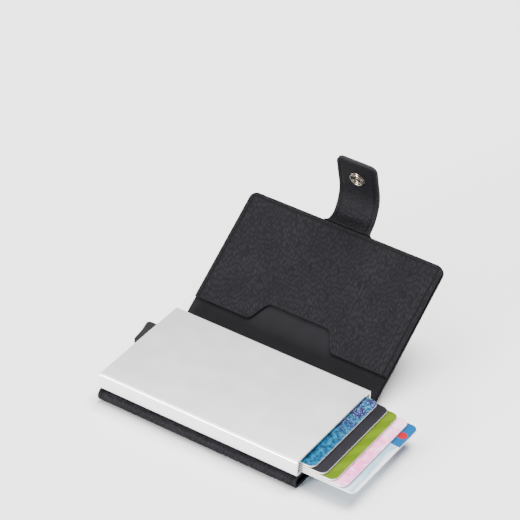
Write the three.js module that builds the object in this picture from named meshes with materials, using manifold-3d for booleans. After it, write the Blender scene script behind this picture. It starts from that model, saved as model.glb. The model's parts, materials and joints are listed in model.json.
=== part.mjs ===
// A pop-up card case: an aluminium tube that holds five cards, a thumb lever that fans them out,
// and a leather cover with a note pocket, a spine, a flap with a card pocket and a snap strap.
// Millimetres, +Z up. X runs along the tube with the cards coming out towards +X,
// Y runs across it with the spine on the +Y side, and z = 0 is the surface it lies on.
import * as THREE from 'three';
import { mergeVertices } from 'three/addons/utils/BufferGeometryUtils.js';
import Module from 'manifold-3d';

const wasm = await Module();
wasm.setup();

// Cards, to the common bank card format.
const CARD_LENGTH = 85.6;
const CARD_WIDTH = 53.98;
const CARD_THICKNESS = 0.76;
const CARD_CORNER_RADIUS = 3.18;
const CARD_PITCH = 1.05;
const CARD_PROTRUSIONS = [6.2, 11.6, 16.6, 21.8, 26.6];
const CARD_FLOOR_CLEARANCE = 0.14;
const CARD_TOP_CLEARANCE = 0.9;
const CARD_SIDE_CLEARANCE = 0.3;
const CARD_PARKED_DEPTH = 1.4;

// The extruded tube, sized round the cards and the bay behind them that the lever works in.
const LEVER_BAY_LENGTH = 15;
const CASE_WALL = 1.1;
const CASE_EDGE_RADIUS = 1.2;
const STRIP_THICKNESS = 1.75;
const STRIP_MOUTH_INSET = 3;
const STRIP_FRAME_GAP = 9.6;
const STRIP_EDGE_CLEARANCE = 0.25;

// The plastic end frame, its pin and the stepped lever.
const FRAME_DEPTH = 11;
const FRAME_END_INSET = 0.4;
const FRAME_WALL_GAP = 0.3;
const FRAME_LEVER_GAP = 0.2;
const FRAME_BLOCK_WIDTH = 1.9;
const FRAME_REAR_BLOCK_WIDTH = 0.6;
const PIN_RADIUS = 1.5;
const PIN_FIT = 0.3;
const HUB_RADIUS = 3.4;
const HUB_SIDE_CLEARANCE = 1.3;
const PIVOT_FROM_END = 6;
const NOSE_RADIUS = 1.4;
const NOSE_SIDE_CLEARANCE = 2.6;
const NOSE_CARD_GAP = 1.5;
const LEVER_FLOOR_GAP = 0.2;
const LEVER_STEP_GAP = 0.14;
const TAB_NEAR_OFFSET = 8.4;
const TAB_NEAR_REACH = 6.2;
const TAB_SHOULDER_OFFSET = 15.5;
const TAB_SHOULDER_REACH = 4.4;
const TAB_FAR_OFFSET = 22.7;
const TAB_FAR_REACH = 3.6;
const TAB_HEEL_OFFSET = 27;
const TAB_HEEL_REACH = 0.6;
const TAB_ROOT_DEPTH = 5;
const TAB_CORNER_RADIUS = 1.6;

// The leather cover under the tube: a folded sheet that makes the note pocket.
const LEATHER = 1.3;
const NOTE_LINING = 0.4;
const NOTE_POCKET_HEIGHT = 3.8;
const FOLD_BULGE = 1.15;
const COVER_REAR_OVERHANG = 0.85;
const COVER_REAR_RADIUS = 0.9;
const TAPE_THICKNESS = 0.3;
const TAPE_INSET = 1.2;
const NOTE_LINING_INSET = 0.5;
const NOTE_LINING_REAR_GAP = 0.3;

// Soft layers of the spine, flap and strap, counted from the inner face outwards.
const FLAP_LEATHER = 1.1;
const FLAP_BOARD = 0.4;
const FLAP_LINING = 0.5;
const PANEL_LEATHER = 0.9;
const LAYER_GAP = 0.3;
const FOLD_GAP = 0.15;
const FOLD_RELIEF = 0.45;

// The spine and the flap.
const SPINE_HINGE_HEIGHT = 2;
const SPINE_CASE_GAP = 1.36;
const SPINE_REST_TILT = THREE.MathUtils.degToRad(38.3);
const FLAP_REST_TILT = THREE.MathUtils.degToRad(35.6);
const FLAP_SETBACK = 2.95;
const FLAP_CASE_GAP = 0.4;
const FLAP_CORNER_RADIUS = 4;
const LINING_EDGE_INSET = 1;
const BOARD_EDGE_INSET = 3;

// The card pocket on the flap and its thumb notch.
const PANEL_EDGE_INSET = 0.4;
const PANEL_HINGE_INSET = 1.9;
const NOTCH_BASE_WIDTH = 46;
const NOTCH_TOP_WIDTH = 34.5;
const NOTCH_DEPTH = 10;
const NOTCH_ROUNDING = 2.4;

// The strap: a straight root, a curled middle and a straight end with the snap.
const STRAP_WIDTH = 20.6;
const STRAP_ROOT_LENGTH = 4.6;
const STRAP_MIDDLE_LENGTH = 16.4;
const STRAP_END_LENGTH = 16.5;
const STRAP_ROOT_TILT = THREE.MathUtils.degToRad(44);
const STRAP_MIDDLE_TILT = THREE.MathUtils.degToRad(52.7);
const STRAP_END_TILT = THREE.MathUtils.degToRad(106);
const STRAP_CORNER_RADIUS = 3.4;
const STRAP_HINGE_GAP = 0.2;

// The press snap: socket and cap on the strap, stud and rivet in the cover.
const SNAP_FROM_END = 10.5;
const SOCKET_RADIUS = 3.9;
const SOCKET_HEIGHT = 0.9;
const SOCKET_FLOOR = 0.2;
const SOCKET_BORE_RADIUS = 2;
const SOCKET_RIM = 0.35;
const CAP_RADIUS = 4.6;
const CAP_HEIGHT = 1.2;
const CAP_EDGE = 0.4;
const SHANK_RADIUS = 1.2;
const SHANK_FIT = 0.3;
const STUD_FROM_FOLD = 6.8;
const STUD_WELL_CLEARANCE = 0.5;
const STUD_FLANGE_RADIUS = 3.6;
const STUD_FLANGE_THICKNESS = 0.35;
const STUD_NECK_RADIUS = 1.2;
const STUD_NECK_HEIGHT = 0.35;
const STUD_BULB_RADIUS = 1.6;
const STUD_BULB_HEIGHT = 0.5;
const RIVET_HEAD_RADIUS = 3.5;
const RIVET_HEAD_THICKNESS = 0.45;
const RIVET_SHANK_RADIUS = 1;

// Overrun of every cutting tool past what it cuts, and how finely round outlines are stepped.
const CUT_OVERRUN = 1;
const ARC_STEPS = 8;
const ROUND_SIDES = 32;

// Places that follow from the sizes above.
const caseLength = CARD_LENGTH + CARD_PARKED_DEPTH + LEVER_BAY_LENGTH;
const cardCount = CARD_PROTRUSIONS.length;
const stackHeight = (cardCount - 1) * CARD_PITCH + CARD_THICKNESS;
const innerHeight = CARD_FLOOR_CLEARANCE + stackHeight + CARD_TOP_CLEARANCE;
const innerWidth = CARD_WIDTH + 2 * (CARD_SIDE_CLEARANCE + STRIP_THICKNESS);
const caseHeight = innerHeight + 2 * CASE_WALL;
const caseWidth = innerWidth + 2 * CASE_WALL;
const foldHeight = NOTE_POCKET_HEIGHT + 2 * LEATHER;
const caseBottom = foldHeight + TAPE_THICKNESS;
const caseTop = caseBottom + caseHeight;
const innerFloor = caseBottom + CASE_WALL;
const innerCeiling = caseTop - CASE_WALL;
const mouthX = caseLength / 2;
const stackBottom = innerFloor + CARD_FLOOR_CLEARANCE;
const stackTop = stackBottom + stackHeight;

const materials = {
  aluminium: new THREE.MeshStandardMaterial({ color: '#d4d4d6', roughness: 0.38, metalness: 0.9 }),
  blackPlastic: new THREE.MeshStandardMaterial({ color: '#3a3a3c', roughness: 0.55, metalness: 0 }),
  steel: new THREE.MeshStandardMaterial({ color: '#b9bbbd', roughness: 0.3, metalness: 1 }),
  nickel: new THREE.MeshStandardMaterial({ color: '#c9c6bd', roughness: 0.22, metalness: 1 }),
  felt: new THREE.MeshStandardMaterial({ color: '#2c2c2e', roughness: 0.95, metalness: 0 }),
  tape: new THREE.MeshStandardMaterial({ color: '#e3e3df', roughness: 0.7, metalness: 0 }),
  leather: new THREE.MeshStandardMaterial({ color: '#36353a', roughness: 0.6, metalness: 0 }),
  lining: new THREE.MeshStandardMaterial({ color: '#333236', roughness: 0.7, metalness: 0 }),
  board: new THREE.MeshStandardMaterial({ color: '#8d8072', roughness: 0.9, metalness: 0 }),
};
const cardColours = ['#5fb3c4', '#47434d', '#98b430', '#f0d0e0', '#f2f4f6'];

// Gives a mesh its name and finish.
function piece(name, geometry, material) {
  const mesh = new THREE.Mesh(geometry, material);
  mesh.name = name;
  return mesh;
}

// Turns a geometry into a solid that can be cut and joined.
function toSolid(geometry) {
  const bare = geometry.clone();
  bare.deleteAttribute('normal');
  bare.deleteAttribute('uv');
  const merged = mergeVertices(bare);
  return new wasm.Manifold(new wasm.Mesh({
    numProp: 3,
    vertProperties: new Float32Array(merged.attributes.position.array),
    triVerts: new Uint32Array(merged.index.array),
  }));
}

// Turns a solid back into a geometry.
function toGeometry(solid) {
  const mesh = solid.getMesh();
  const geometry = new THREE.BufferGeometry();
  const points = new Float32Array(mesh.vertProperties);
  geometry.setAttribute('position', new THREE.BufferAttribute(points, mesh.numProp));
  geometry.setIndex(new THREE.BufferAttribute(new Uint32Array(mesh.triVerts), 1));
  geometry.computeVertexNormals();
  return geometry;
}

// Cuts each tool out of a body.
function cut(body, ...tools) {
  let solid = toSolid(body);
  for (const tool of tools) {
    solid = solid.subtract(toSolid(tool));
  }
  return toGeometry(solid);
}

// Joins geometries that overlap or meet into one body.
function join(...bodies) {
  let solid = toSolid(bodies[0]);
  for (const body of bodies.slice(1)) {
    solid = solid.add(toSolid(body));
  }
  return toGeometry(solid);
}

// A flat plate: an outline drawn in X and Y, from height low to height high.
function plate(outline, low, high) {
  const geometry = new THREE.ExtrudeGeometry(outline, {
    depth: high - low,
    bevelEnabled: false,
    curveSegments: ARC_STEPS,
  });
  return geometry.translate(0, 0, low);
}

// A bar along X, centred on x = 0, from a section drawn in Y and Z.
function barAlongX(section, length) {
  const geometry = new THREE.ExtrudeGeometry(section, {
    depth: length,
    bevelEnabled: false,
    curveSegments: ARC_STEPS,
  });
  geometry.translate(0, 0, -length / 2);
  const turn = new THREE.Matrix4().makeBasis(
    new THREE.Vector3(0, 1, 0),
    new THREE.Vector3(0, 0, 1),
    new THREE.Vector3(1, 0, 0),
  );
  return geometry.applyMatrix4(turn);
}

// A box between two corners.
function block(x0, x1, y0, y1, z0, z1) {
  const geometry = new THREE.BoxGeometry(x1 - x0, y1 - y0, z1 - z0);
  return geometry.translate((x0 + x1) / 2, (y0 + y1) / 2, (z0 + z1) / 2);
}

// A round post about Z.
function post(radius, low, high, x, y) {
  const geometry = new THREE.CylinderGeometry(radius, radius, high - low, ROUND_SIDES);
  geometry.rotateX(Math.PI / 2);
  return geometry.translate(x, y, (low + high) / 2);
}

// A turned piece about Z from pairs of radius and height that start and end on the axis.
function turned(profile) {
  const points = profile.map(([radius, height]) => new THREE.Vector2(radius, height));
  return new THREE.LatheGeometry(points, ROUND_SIDES).rotateX(Math.PI / 2);
}

// Draws a closed outline through corner points, each rounded by its own radius.
function roundedOutline(corners, path = new THREE.Shape()) {
  const points = corners.map(([x, y]) => new THREE.Vector2(x, y));
  corners.forEach(([, , radius = 0], i) => {
    const here = points[i];
    const before = points[(i + corners.length - 1) % corners.length];
    const after = points[(i + 1) % corners.length];
    if (radius === 0) {
      i === 0 ? path.moveTo(here.x, here.y) : path.lineTo(here.x, here.y);
      return;
    }
    const back = before.clone().sub(here).normalize();
    const ahead = after.clone().sub(here).normalize();
    const halfAngle = Math.acos(THREE.MathUtils.clamp(back.dot(ahead), -1, 1)) / 2;
    const room = Math.min(before.distanceTo(here), after.distanceTo(here)) / 2;
    const setback = Math.min(radius / Math.tan(halfAngle), room);
    const usedRadius = setback * Math.tan(halfAngle);
    const start = here.clone().addScaledVector(back, setback);
    const end = here.clone().addScaledVector(ahead, setback);
    const inward = back.clone().add(ahead).normalize();
    const centre = here.clone().addScaledVector(inward, usedRadius / Math.sin(halfAngle));
    const clockwise = back.x * ahead.y - back.y * ahead.x > 0;
    const startAngle = Math.atan2(start.y - centre.y, start.x - centre.x);
    const endAngle = Math.atan2(end.y - centre.y, end.x - centre.x);
    i === 0 ? path.moveTo(start.x, start.y) : path.lineTo(start.x, start.y);
    path.absarc(centre.x, centre.y, usedRadius, startAngle, endAngle, clockwise);
  });
  path.closePath();
  return path;
}

// A rectangle between two corners with one radius at all four.
function roundedRectangle(x0, y0, x1, y1, radius, path) {
  return roundedOutline([[x0, y0, radius], [x1, y0, radius], [x1, y1, radius], [x0, y1, radius]], path);
}

// The tube: an extruded rounded rectangle with square inner corners, cut square at both ends.
function makeCase() {
  const section = roundedRectangle(-caseWidth / 2, caseBottom, caseWidth / 2, caseTop, CASE_EDGE_RADIUS);
  const bore = new THREE.Path();
  section.holes.push(roundedRectangle(-innerWidth / 2, innerFloor, innerWidth / 2, innerCeiling, 0, bore));
  return piece('case_shell', barAlongX(section, caseLength), materials.aluminium);
}

// A felt friction strip glued to the inside of one side wall.
function makeStrip(name, side) {
  const wall = side * innerWidth / 2;
  const face = wall - side * STRIP_THICKNESS;
  const start = -mouthX + FRAME_END_INSET + FRAME_DEPTH + STRIP_FRAME_GAP;
  const end = mouthX - STRIP_MOUTH_INSET;
  const geometry = block(start, end, Math.min(wall, face), Math.max(wall, face),
    innerFloor + STRIP_EDGE_CLEARANCE, innerCeiling - STRIP_EDGE_CLEARANCE);
  return piece(name, geometry, materials.felt);
}

// The cards, counted from the top one down, drawn out in steps by the lever.
function makeCards() {
  return CARD_PROTRUSIONS.map((protrusion, i) => {
    const outline = roundedRectangle(-CARD_LENGTH, -CARD_WIDTH / 2, 0, CARD_WIDTH / 2, CARD_CORNER_RADIUS);
    const color = cardColours[i % cardColours.length];
    const print = new THREE.MeshStandardMaterial({ color, roughness: 0.4, metalness: 0 });
    const card = piece(`card_${i + 1}`, plate(outline, 0, CARD_THICKNESS), print);
    card.position.set(mouthX + protrusion, 0, cardUnderside(i));
    return card;
  });
}

function cardUnderside(i) {
  return stackTop - CARD_THICKNESS - i * CARD_PITCH;
}

// Where the lever turns, how far its noses reach and how far it swings.
const pivotX = -mouthX + PIVOT_FROM_END;
const pivotY = innerWidth / 2 - HUB_RADIUS - HUB_SIDE_CLEARANCE;
const parkedRearX = mouthX - CARD_PARKED_DEPTH - CARD_LENGTH;
const noseAhead = parkedRearX - NOSE_CARD_GAP - NOSE_RADIUS - pivotX;
const longestReach = pivotY + innerWidth / 2 - NOSE_SIDE_CLEARANCE - NOSE_RADIUS;
const noseX = CARD_PROTRUSIONS.map((protrusion) => (
  mouthX + protrusion - CARD_LENGTH - NOSE_CARD_GAP - NOSE_RADIUS - pivotX
));
const swing = Math.asin(Math.max(...noseX) / longestReach) - Math.asin(noseAhead / longestReach);

// How far along the arm each nose sits, so that it stops just behind its card.
function noseAlong(i) {
  return (noseX[i] - noseAhead * Math.cos(swing)) / Math.sin(swing);
}

// The outline of one arm of the lever: a round hub and a round nose, joined by straight sides.
function armOutline(i) {
  const nose = new THREE.Vector2(noseAhead, -noseAlong(i));
  const axis = nose.angle();
  const lean = Math.acos((HUB_RADIUS - NOSE_RADIUS) / nose.length());
  const outline = new THREE.Shape();
  outline.absarc(0, 0, HUB_RADIUS, axis + lean, axis - lean + 2 * Math.PI, false);
  outline.absarc(nose.x, nose.y, NOSE_RADIUS, axis - lean, axis + lean, false);
  outline.closePath();
  return outline;
}

// The thumb tab, drawn as it stands with the lever pressed, about the pivot.
function tabOutline() {
  const end = -PIVOT_FROM_END;
  return roundedOutline([
    [end - TAB_NEAR_REACH, -TAB_NEAR_OFFSET, TAB_CORNER_RADIUS],
    [end - TAB_SHOULDER_REACH, -TAB_SHOULDER_OFFSET, TAB_CORNER_RADIUS],
    [end - TAB_FAR_REACH, -TAB_FAR_OFFSET, TAB_CORNER_RADIUS],
    [end - TAB_HEEL_REACH, -TAB_HEEL_OFFSET, TAB_CORNER_RADIUS],
    [end + TAB_ROOT_DEPTH, -TAB_HEEL_OFFSET, TAB_CORNER_RADIUS],
    [HUB_RADIUS * Math.cos(Math.PI / 4), -HUB_RADIUS * Math.sin(Math.PI / 4)],
    [0, 0],
    [-HUB_RADIUS, 0],
    [end + HUB_RADIUS / 2, -TAB_NEAR_OFFSET],
  ]);
}

// The lever: a staircase of arms, the longest at the bottom, on a hub with the thumb tab.
function makeLever() {
  const low = innerFloor + LEVER_FLOOR_GAP;
  const arms = CARD_PROTRUSIONS.map((_, i) => {
    const high = i === 0 ? stackTop : cardUnderside(i - 1) - LEVER_STEP_GAP;
    return plate(armOutline(i), low, high).rotateZ(swing);
  });
  const tab = plate(tabOutline(), low, stackTop);
  const bore = post(PIN_RADIUS + PIN_FIT, low - CUT_OVERRUN, stackTop + CUT_OVERRUN, 0, 0);
  const lever = piece('eject_lever', cut(join(tab, ...arms), bore), materials.blackPlastic);
  lever.position.set(pivotX, pivotY, 0);
  return lever;
}

// The end frame: a top bridge that takes the pin, with a block down each side of the tube.
function makeEndFrame() {
  const x0 = -mouthX + FRAME_END_INSET;
  const x1 = x0 + FRAME_DEPTH;
  const side = innerWidth / 2 - FRAME_WALL_GAP;
  const bridgeLow = stackTop + FRAME_LEVER_GAP;
  const bridge = block(x0, x1, -side, side, bridgeLow, innerCeiling);
  const frontBlock = block(x0, x1, -side, -side + FRAME_BLOCK_WIDTH, innerFloor, innerCeiling);
  const rearBlock = block(x0, x1, side - FRAME_REAR_BLOCK_WIDTH, side, innerFloor, innerCeiling);
  const hole = post(PIN_RADIUS + PIN_FIT, innerFloor, innerCeiling + CUT_OVERRUN, pivotX, pivotY);
  return piece('end_frame', cut(join(bridge, frontBlock, rearBlock), hole), materials.blackPlastic);
}

function makePin() {
  const geometry = post(PIN_RADIUS, innerFloor, innerCeiling, pivotX, pivotY);
  return piece('lever_pivot_pin', geometry, materials.steel);
}

// The cover under the tube: one sheet folded round at the front and sewn shut along the rear.
const coverRear = caseWidth / 2 + COVER_REAR_OVERHANG;
const foldFront = -caseWidth / 2 - FOLD_BULGE;
const foldCentreY = foldFront + foldHeight / 2;
const studY = foldFront + STUD_FROM_FOLD;

function makeBackCover() {
  const outer = new THREE.Shape();
  outer.moveTo(foldCentreY, 0);
  outer.lineTo(coverRear, 0);
  const rearArcZ = foldHeight - COVER_REAR_RADIUS;
  outer.lineTo(coverRear, rearArcZ);
  outer.absarc(coverRear - COVER_REAR_RADIUS, rearArcZ, COVER_REAR_RADIUS, 0, Math.PI / 2);
  outer.lineTo(foldCentreY, foldHeight);
  outer.absarc(foldCentreY, foldHeight / 2, foldHeight / 2, Math.PI / 2, 3 * Math.PI / 2);
  const pocket = new THREE.Path();
  pocket.moveTo(foldCentreY, LEATHER);
  pocket.lineTo(coverRear - LEATHER, LEATHER);
  pocket.lineTo(coverRear - LEATHER, foldHeight - LEATHER);
  pocket.lineTo(foldCentreY, foldHeight - LEATHER);
  pocket.absarc(foldCentreY, foldHeight / 2, NOTE_POCKET_HEIGHT / 2, Math.PI / 2, 3 * Math.PI / 2);
  outer.holes.push(pocket);
  const well = post(SOCKET_RADIUS + STUD_WELL_CLEARANCE, -CUT_OVERRUN, LEATHER + NOTE_LINING, 0, studY);
  return piece('back_cover', cut(barAlongX(outer, caseLength), well), materials.leather);
}

function makeNoteLining() {
  const outline = roundedRectangle(-mouthX + NOTE_LINING_INSET, foldCentreY,
    mouthX - NOTE_LINING_INSET, coverRear - LEATHER - NOTE_LINING_REAR_GAP, 0);
  const top = LEATHER + NOTE_LINING;
  const hole = post(RIVET_SHANK_RADIUS + SHANK_FIT, 0, top + CUT_OVERRUN, 0, studY);
  return piece('note_pocket_lining', cut(plate(outline, LEATHER, top), hole), materials.lining);
}

// The adhesive sheet that holds the tube on the cover.
function makeTape() {
  const x = mouthX - TAPE_INSET;
  const y = caseWidth / 2 - TAPE_INSET;
  return piece('mounting_tape', block(-x, x, -y, y, foldHeight, caseBottom), materials.tape);
}

// The stud, sunk in its well in the underside so that the cover still lies flat.
function makeStud() {
  const flangeLow = LEATHER - STUD_FLANGE_THICKNESS;
  const neckLow = flangeLow - STUD_NECK_HEIGHT;
  const stud = piece('snap_stud', turned([
    [0, neckLow - STUD_BULB_HEIGHT],
    [STUD_NECK_RADIUS, neckLow - STUD_BULB_HEIGHT],
    [STUD_BULB_RADIUS, neckLow - STUD_BULB_HEIGHT / 2],
    [STUD_NECK_RADIUS, neckLow],
    [STUD_NECK_RADIUS, flangeLow],
    [STUD_FLANGE_RADIUS, flangeLow],
    [STUD_FLANGE_RADIUS, LEATHER],
    [0, LEATHER],
  ]), materials.nickel);
  stud.position.set(0, studY, 0);
  return stud;
}

function makeRivet() {
  const headLow = LEATHER + NOTE_LINING;
  const rivet = piece('stud_rivet', turned([
    [0, LEATHER],
    [RIVET_SHANK_RADIUS, LEATHER],
    [RIVET_SHANK_RADIUS, headLow],
    [RIVET_HEAD_RADIUS, headLow],
    [RIVET_HEAD_RADIUS, headLow + RIVET_HEAD_THICKNESS / 2],
    [RIVET_HEAD_RADIUS / 2, headLow + RIVET_HEAD_THICKNESS],
    [0, headLow + RIVET_HEAD_THICKNESS],
  ]), materials.nickel);
  rivet.position.set(0, studY, 0);
  return rivet;
}

// The spine and flap turn about axes along X that lie on their inner faces.
const panelProud = LAYER_GAP + PANEL_LEATHER;
const spineLength = caseTop + FLAP_CASE_GAP + panelProud - SPINE_HINGE_HEIGHT;
const spineHingeY = caseWidth / 2 + SPINE_CASE_GAP;
const flapLength = spineHingeY + caseWidth / 2 - FLAP_SETBACK;
const spineThickness = FLAP_LINING + LAYER_GAP + FLAP_LEATHER;
const flapThickness = FLAP_LINING + LAYER_GAP + FLAP_BOARD + LAYER_GAP + FLAP_LEATHER;

// A strip section between two fold lines, thinner at the outer face so that it can bend both ways.
function foldSection(start, end, inner, outer) {
  const depth = outer - inner;
  const lean = FOLD_RELIEF * depth / flapThickness;
  return roundedOutline([
    [start + FOLD_GAP, -inner],
    [start + FOLD_GAP + lean, -outer],
    [end - FOLD_GAP - lean, -outer],
    [end - FOLD_GAP, -inner],
  ]);
}

function makeSpine() {
  const leather = piece('spine_leather', barAlongX(
    foldSection(0, spineLength, FLAP_LINING + LAYER_GAP, spineThickness), caseLength), materials.leather);
  const lining = piece('spine_lining', barAlongX(
    foldSection(0, spineLength, 0, FLAP_LINING), caseLength - 2 * LINING_EDGE_INSET), materials.lining);
  return [leather, lining];
}

// An outline on the flap: square at the fold, rounded at the free edge, held back by an inset.
function flapOutline(inset, foldInset) {
  const x = mouthX - inset;
  const far = flapLength - inset;
  const radius = Math.max(FLAP_CORNER_RADIUS - inset, FLAP_CORNER_RADIUS / 4);
  return roundedOutline([[-x, foldInset], [x, foldInset], [x, far, radius], [-x, far, radius]]);
}

// The pocket panel, open towards the spine, with a notch that lets a thumb reach the cards.
function panelOutline() {
  const x = mouthX - PANEL_EDGE_INSET;
  const near = PANEL_HINGE_INSET;
  const far = flapLength - PANEL_EDGE_INSET;
  const radius = FLAP_CORNER_RADIUS - PANEL_EDGE_INSET;
  return roundedOutline([
    [-x, near],
    [-NOTCH_BASE_WIDTH / 2, near, NOTCH_ROUNDING],
    [-NOTCH_TOP_WIDTH / 2, near + NOTCH_DEPTH, NOTCH_ROUNDING],
    [NOTCH_TOP_WIDTH / 2, near + NOTCH_DEPTH, NOTCH_ROUNDING],
    [NOTCH_BASE_WIDTH / 2, near, NOTCH_ROUNDING],
    [x, near],
    [x, far, radius],
    [-x, far, radius],
  ]);
}

function makeFlap() {
  const boardTop = -FLAP_LINING - LAYER_GAP;
  const boardLow = boardTop - FLAP_BOARD;
  const leatherTop = boardLow - LAYER_GAP;
  const leather = plate(flapOutline(0, FOLD_GAP + FOLD_RELIEF), leatherTop - FLAP_LEATHER, leatherTop);
  const board = plate(flapOutline(BOARD_EDGE_INSET, BOARD_EDGE_INSET), boardLow, boardTop);
  const lining = plate(flapOutline(LINING_EDGE_INSET, FOLD_GAP), -FLAP_LINING, 0);
  return [
    piece('flap_leather', leather, materials.leather),
    piece('flap_board', board, materials.board),
    piece('flap_lining', lining, materials.lining),
    piece('flap_pocket_panel', plate(panelOutline(), LAYER_GAP, panelProud), materials.leather),
  ];
}

// The strap has two plies: the flap's own leather outside and a facing leather inside.
const strapInset = flapThickness - spineThickness;
const strapPlies = [
  { suffix: 'facing', inner: 0, outer: FLAP_LINING },
  { suffix: 'leather', inner: FLAP_LINING + LAYER_GAP, outer: spineThickness },
];

function makeStrapRoot() {
  return strapPlies.map(({ suffix, inner, outer }) => piece(`strap_root_${suffix}`,
    barAlongX(foldSection(0, STRAP_ROOT_LENGTH, inner, outer), STRAP_WIDTH), materials.leather));
}

// One ply of the curled middle: a ring sector whose inner face has the strap's own length.
function curlSection(inner, outer) {
  const turn = STRAP_END_TILT - STRAP_MIDDLE_TILT;
  const innerRadius = STRAP_MIDDLE_LENGTH / turn;
  const centreZ = innerRadius;
  const innerTrim = FOLD_GAP / innerRadius;
  const outerTrim = innerTrim + FOLD_RELIEF * (outer - inner) / flapThickness / innerRadius;
  const from = -Math.PI / 2;
  const section = new THREE.Shape();
  section.absarc(0, centreZ, innerRadius + outer, from + outerTrim, from + turn - outerTrim, false);
  section.absarc(0, centreZ, innerRadius + inner, from + turn - innerTrim, from + innerTrim, true);
  section.closePath();
  return section;
}

function makeStrapMiddle() {
  return strapPlies.map(({ suffix, inner, outer }) => piece(`strap_middle_${suffix}`,
    barAlongX(curlSection(inner, outer), STRAP_WIDTH), materials.leather));
}

// The straight end of the strap, with rounded corners and a hole for the snap's shank.
function makeStrapEnd() {
  return strapPlies.map(({ suffix, inner, outer }) => {
    const x = STRAP_WIDTH / 2;
    const outline = roundedOutline([
      [-x, FOLD_GAP + FOLD_RELIEF],
      [x, FOLD_GAP + FOLD_RELIEF],
      [x, STRAP_END_LENGTH, STRAP_CORNER_RADIUS],
      [-x, STRAP_END_LENGTH, STRAP_CORNER_RADIUS],
    ]);
    const hole = post(SHANK_RADIUS + SHANK_FIT, -outer - CUT_OVERRUN, -inner + CUT_OVERRUN,
      0, STRAP_END_LENGTH - SNAP_FROM_END);
    return piece(`strap_end_${suffix}`, cut(plate(outline, -outer, -inner), hole), materials.leather);
  });
}

// The socket on the inner face: a shallow cup with a rolled rim.
function makeSocket() {
  const low = LAYER_GAP;
  const high = low + SOCKET_HEIGHT;
  const socket = piece('snap_socket', turned([
    [0, low],
    [SOCKET_RADIUS, low],
    [SOCKET_RADIUS, high - SOCKET_RIM],
    [SOCKET_RADIUS - SOCKET_RIM, high],
    [SOCKET_BORE_RADIUS, high],
    [SOCKET_BORE_RADIUS, low + SOCKET_FLOOR],
    [0, low + SOCKET_FLOOR],
  ]), materials.nickel);
  socket.position.set(0, STRAP_END_LENGTH - SNAP_FROM_END, 0);
  return socket;
}

// The cap on the outer face, with the shank that goes through the strap to the socket.
function makeCap() {
  const face = -spineThickness - LAYER_GAP;
  const cap = piece('snap_cap', turned([
    [0, face - CAP_HEIGHT],
    [CAP_RADIUS / 2, face - CAP_HEIGHT + CAP_EDGE / 4],
    [CAP_RADIUS, face - CAP_EDGE],
    [CAP_RADIUS, face],
    [SHANK_RADIUS, face],
    [SHANK_RADIUS, 0],
    [0, 0],
  ]), materials.nickel);
  cap.position.set(0, STRAP_END_LENGTH - SNAP_FROM_END, 0);
  return cap;
}

// Groups that turn about X, each standing on the one before.
function hinged(y, z, tilt, ...children) {
  const group = new THREE.Group();
  group.position.set(0, y, z);
  group.rotation.x = tilt;
  group.add(...children);
  return group;
}

const curlTurn = STRAP_END_TILT - STRAP_MIDDLE_TILT;
const curlRadius = STRAP_MIDDLE_LENGTH / curlTurn;
const strapEnd = hinged(curlRadius * Math.sin(curlTurn), curlRadius * (1 - Math.cos(curlTurn)), curlTurn,
  ...makeStrapEnd(), makeSocket(), makeCap());
const strapMiddle = hinged(STRAP_ROOT_LENGTH, 0, STRAP_MIDDLE_TILT - STRAP_ROOT_TILT,
  ...makeStrapMiddle(), strapEnd);
const strapRoot = hinged(flapLength + STRAP_HINGE_GAP, -strapInset, STRAP_ROOT_TILT - FLAP_REST_TILT,
  ...makeStrapRoot(), strapMiddle);
const flap = hinged(spineLength, 0, FLAP_REST_TILT - SPINE_REST_TILT, ...makeFlap(), strapRoot);
const spine = hinged(spineHingeY, SPINE_HINGE_HEIGHT, SPINE_REST_TILT, ...makeSpine(), flap);

const cardHolder = new THREE.Group();
cardHolder.add(
  makeCase(),
  makeEndFrame(),
  makePin(),
  makeLever(),
  makeStrip('friction_strip_front', -1),
  makeStrip('friction_strip_rear', 1),
  ...makeCards(),
  makeTape(),
  makeBackCover(),
  makeNoteLining(),
  makeStud(),
  makeRivet(),
  spine,
);

export default cardHolder;
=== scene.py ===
import json
import math

import bmesh
import bpy
import numpy as np
from mathutils import Matrix, Vector


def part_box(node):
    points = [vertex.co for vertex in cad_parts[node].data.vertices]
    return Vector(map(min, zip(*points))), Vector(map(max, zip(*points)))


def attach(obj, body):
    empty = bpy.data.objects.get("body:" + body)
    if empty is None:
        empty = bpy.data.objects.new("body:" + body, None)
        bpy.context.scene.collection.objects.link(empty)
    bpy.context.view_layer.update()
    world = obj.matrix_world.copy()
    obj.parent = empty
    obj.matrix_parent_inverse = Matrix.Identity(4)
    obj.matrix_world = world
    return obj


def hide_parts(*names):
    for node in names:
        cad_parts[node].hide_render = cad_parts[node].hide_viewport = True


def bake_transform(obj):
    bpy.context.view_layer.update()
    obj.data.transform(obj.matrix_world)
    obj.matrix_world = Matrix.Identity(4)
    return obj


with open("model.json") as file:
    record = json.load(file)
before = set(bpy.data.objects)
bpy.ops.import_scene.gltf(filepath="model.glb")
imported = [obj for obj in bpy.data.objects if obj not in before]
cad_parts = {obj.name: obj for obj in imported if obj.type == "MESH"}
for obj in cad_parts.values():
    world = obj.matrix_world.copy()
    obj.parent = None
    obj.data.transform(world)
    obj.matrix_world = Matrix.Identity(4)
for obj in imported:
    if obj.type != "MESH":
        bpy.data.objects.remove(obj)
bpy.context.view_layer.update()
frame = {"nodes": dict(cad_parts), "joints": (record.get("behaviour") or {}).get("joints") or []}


# The metal case: one extruded tube of anodised aluminium, open at both ends and bead blasted to a satin
# silver. Its long edges are rounded by the die, and its sawn ends are lightly broken and left bright.
MM = 0.001
CASE_WALL = 1.1 * MM
CASE_EDGE = 1.2 * MM
CASE_BORE_EDGE = 0.2 * MM
CASE_END_BREAK = 0.16 * MM
CASE_ROWS = 9
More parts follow.
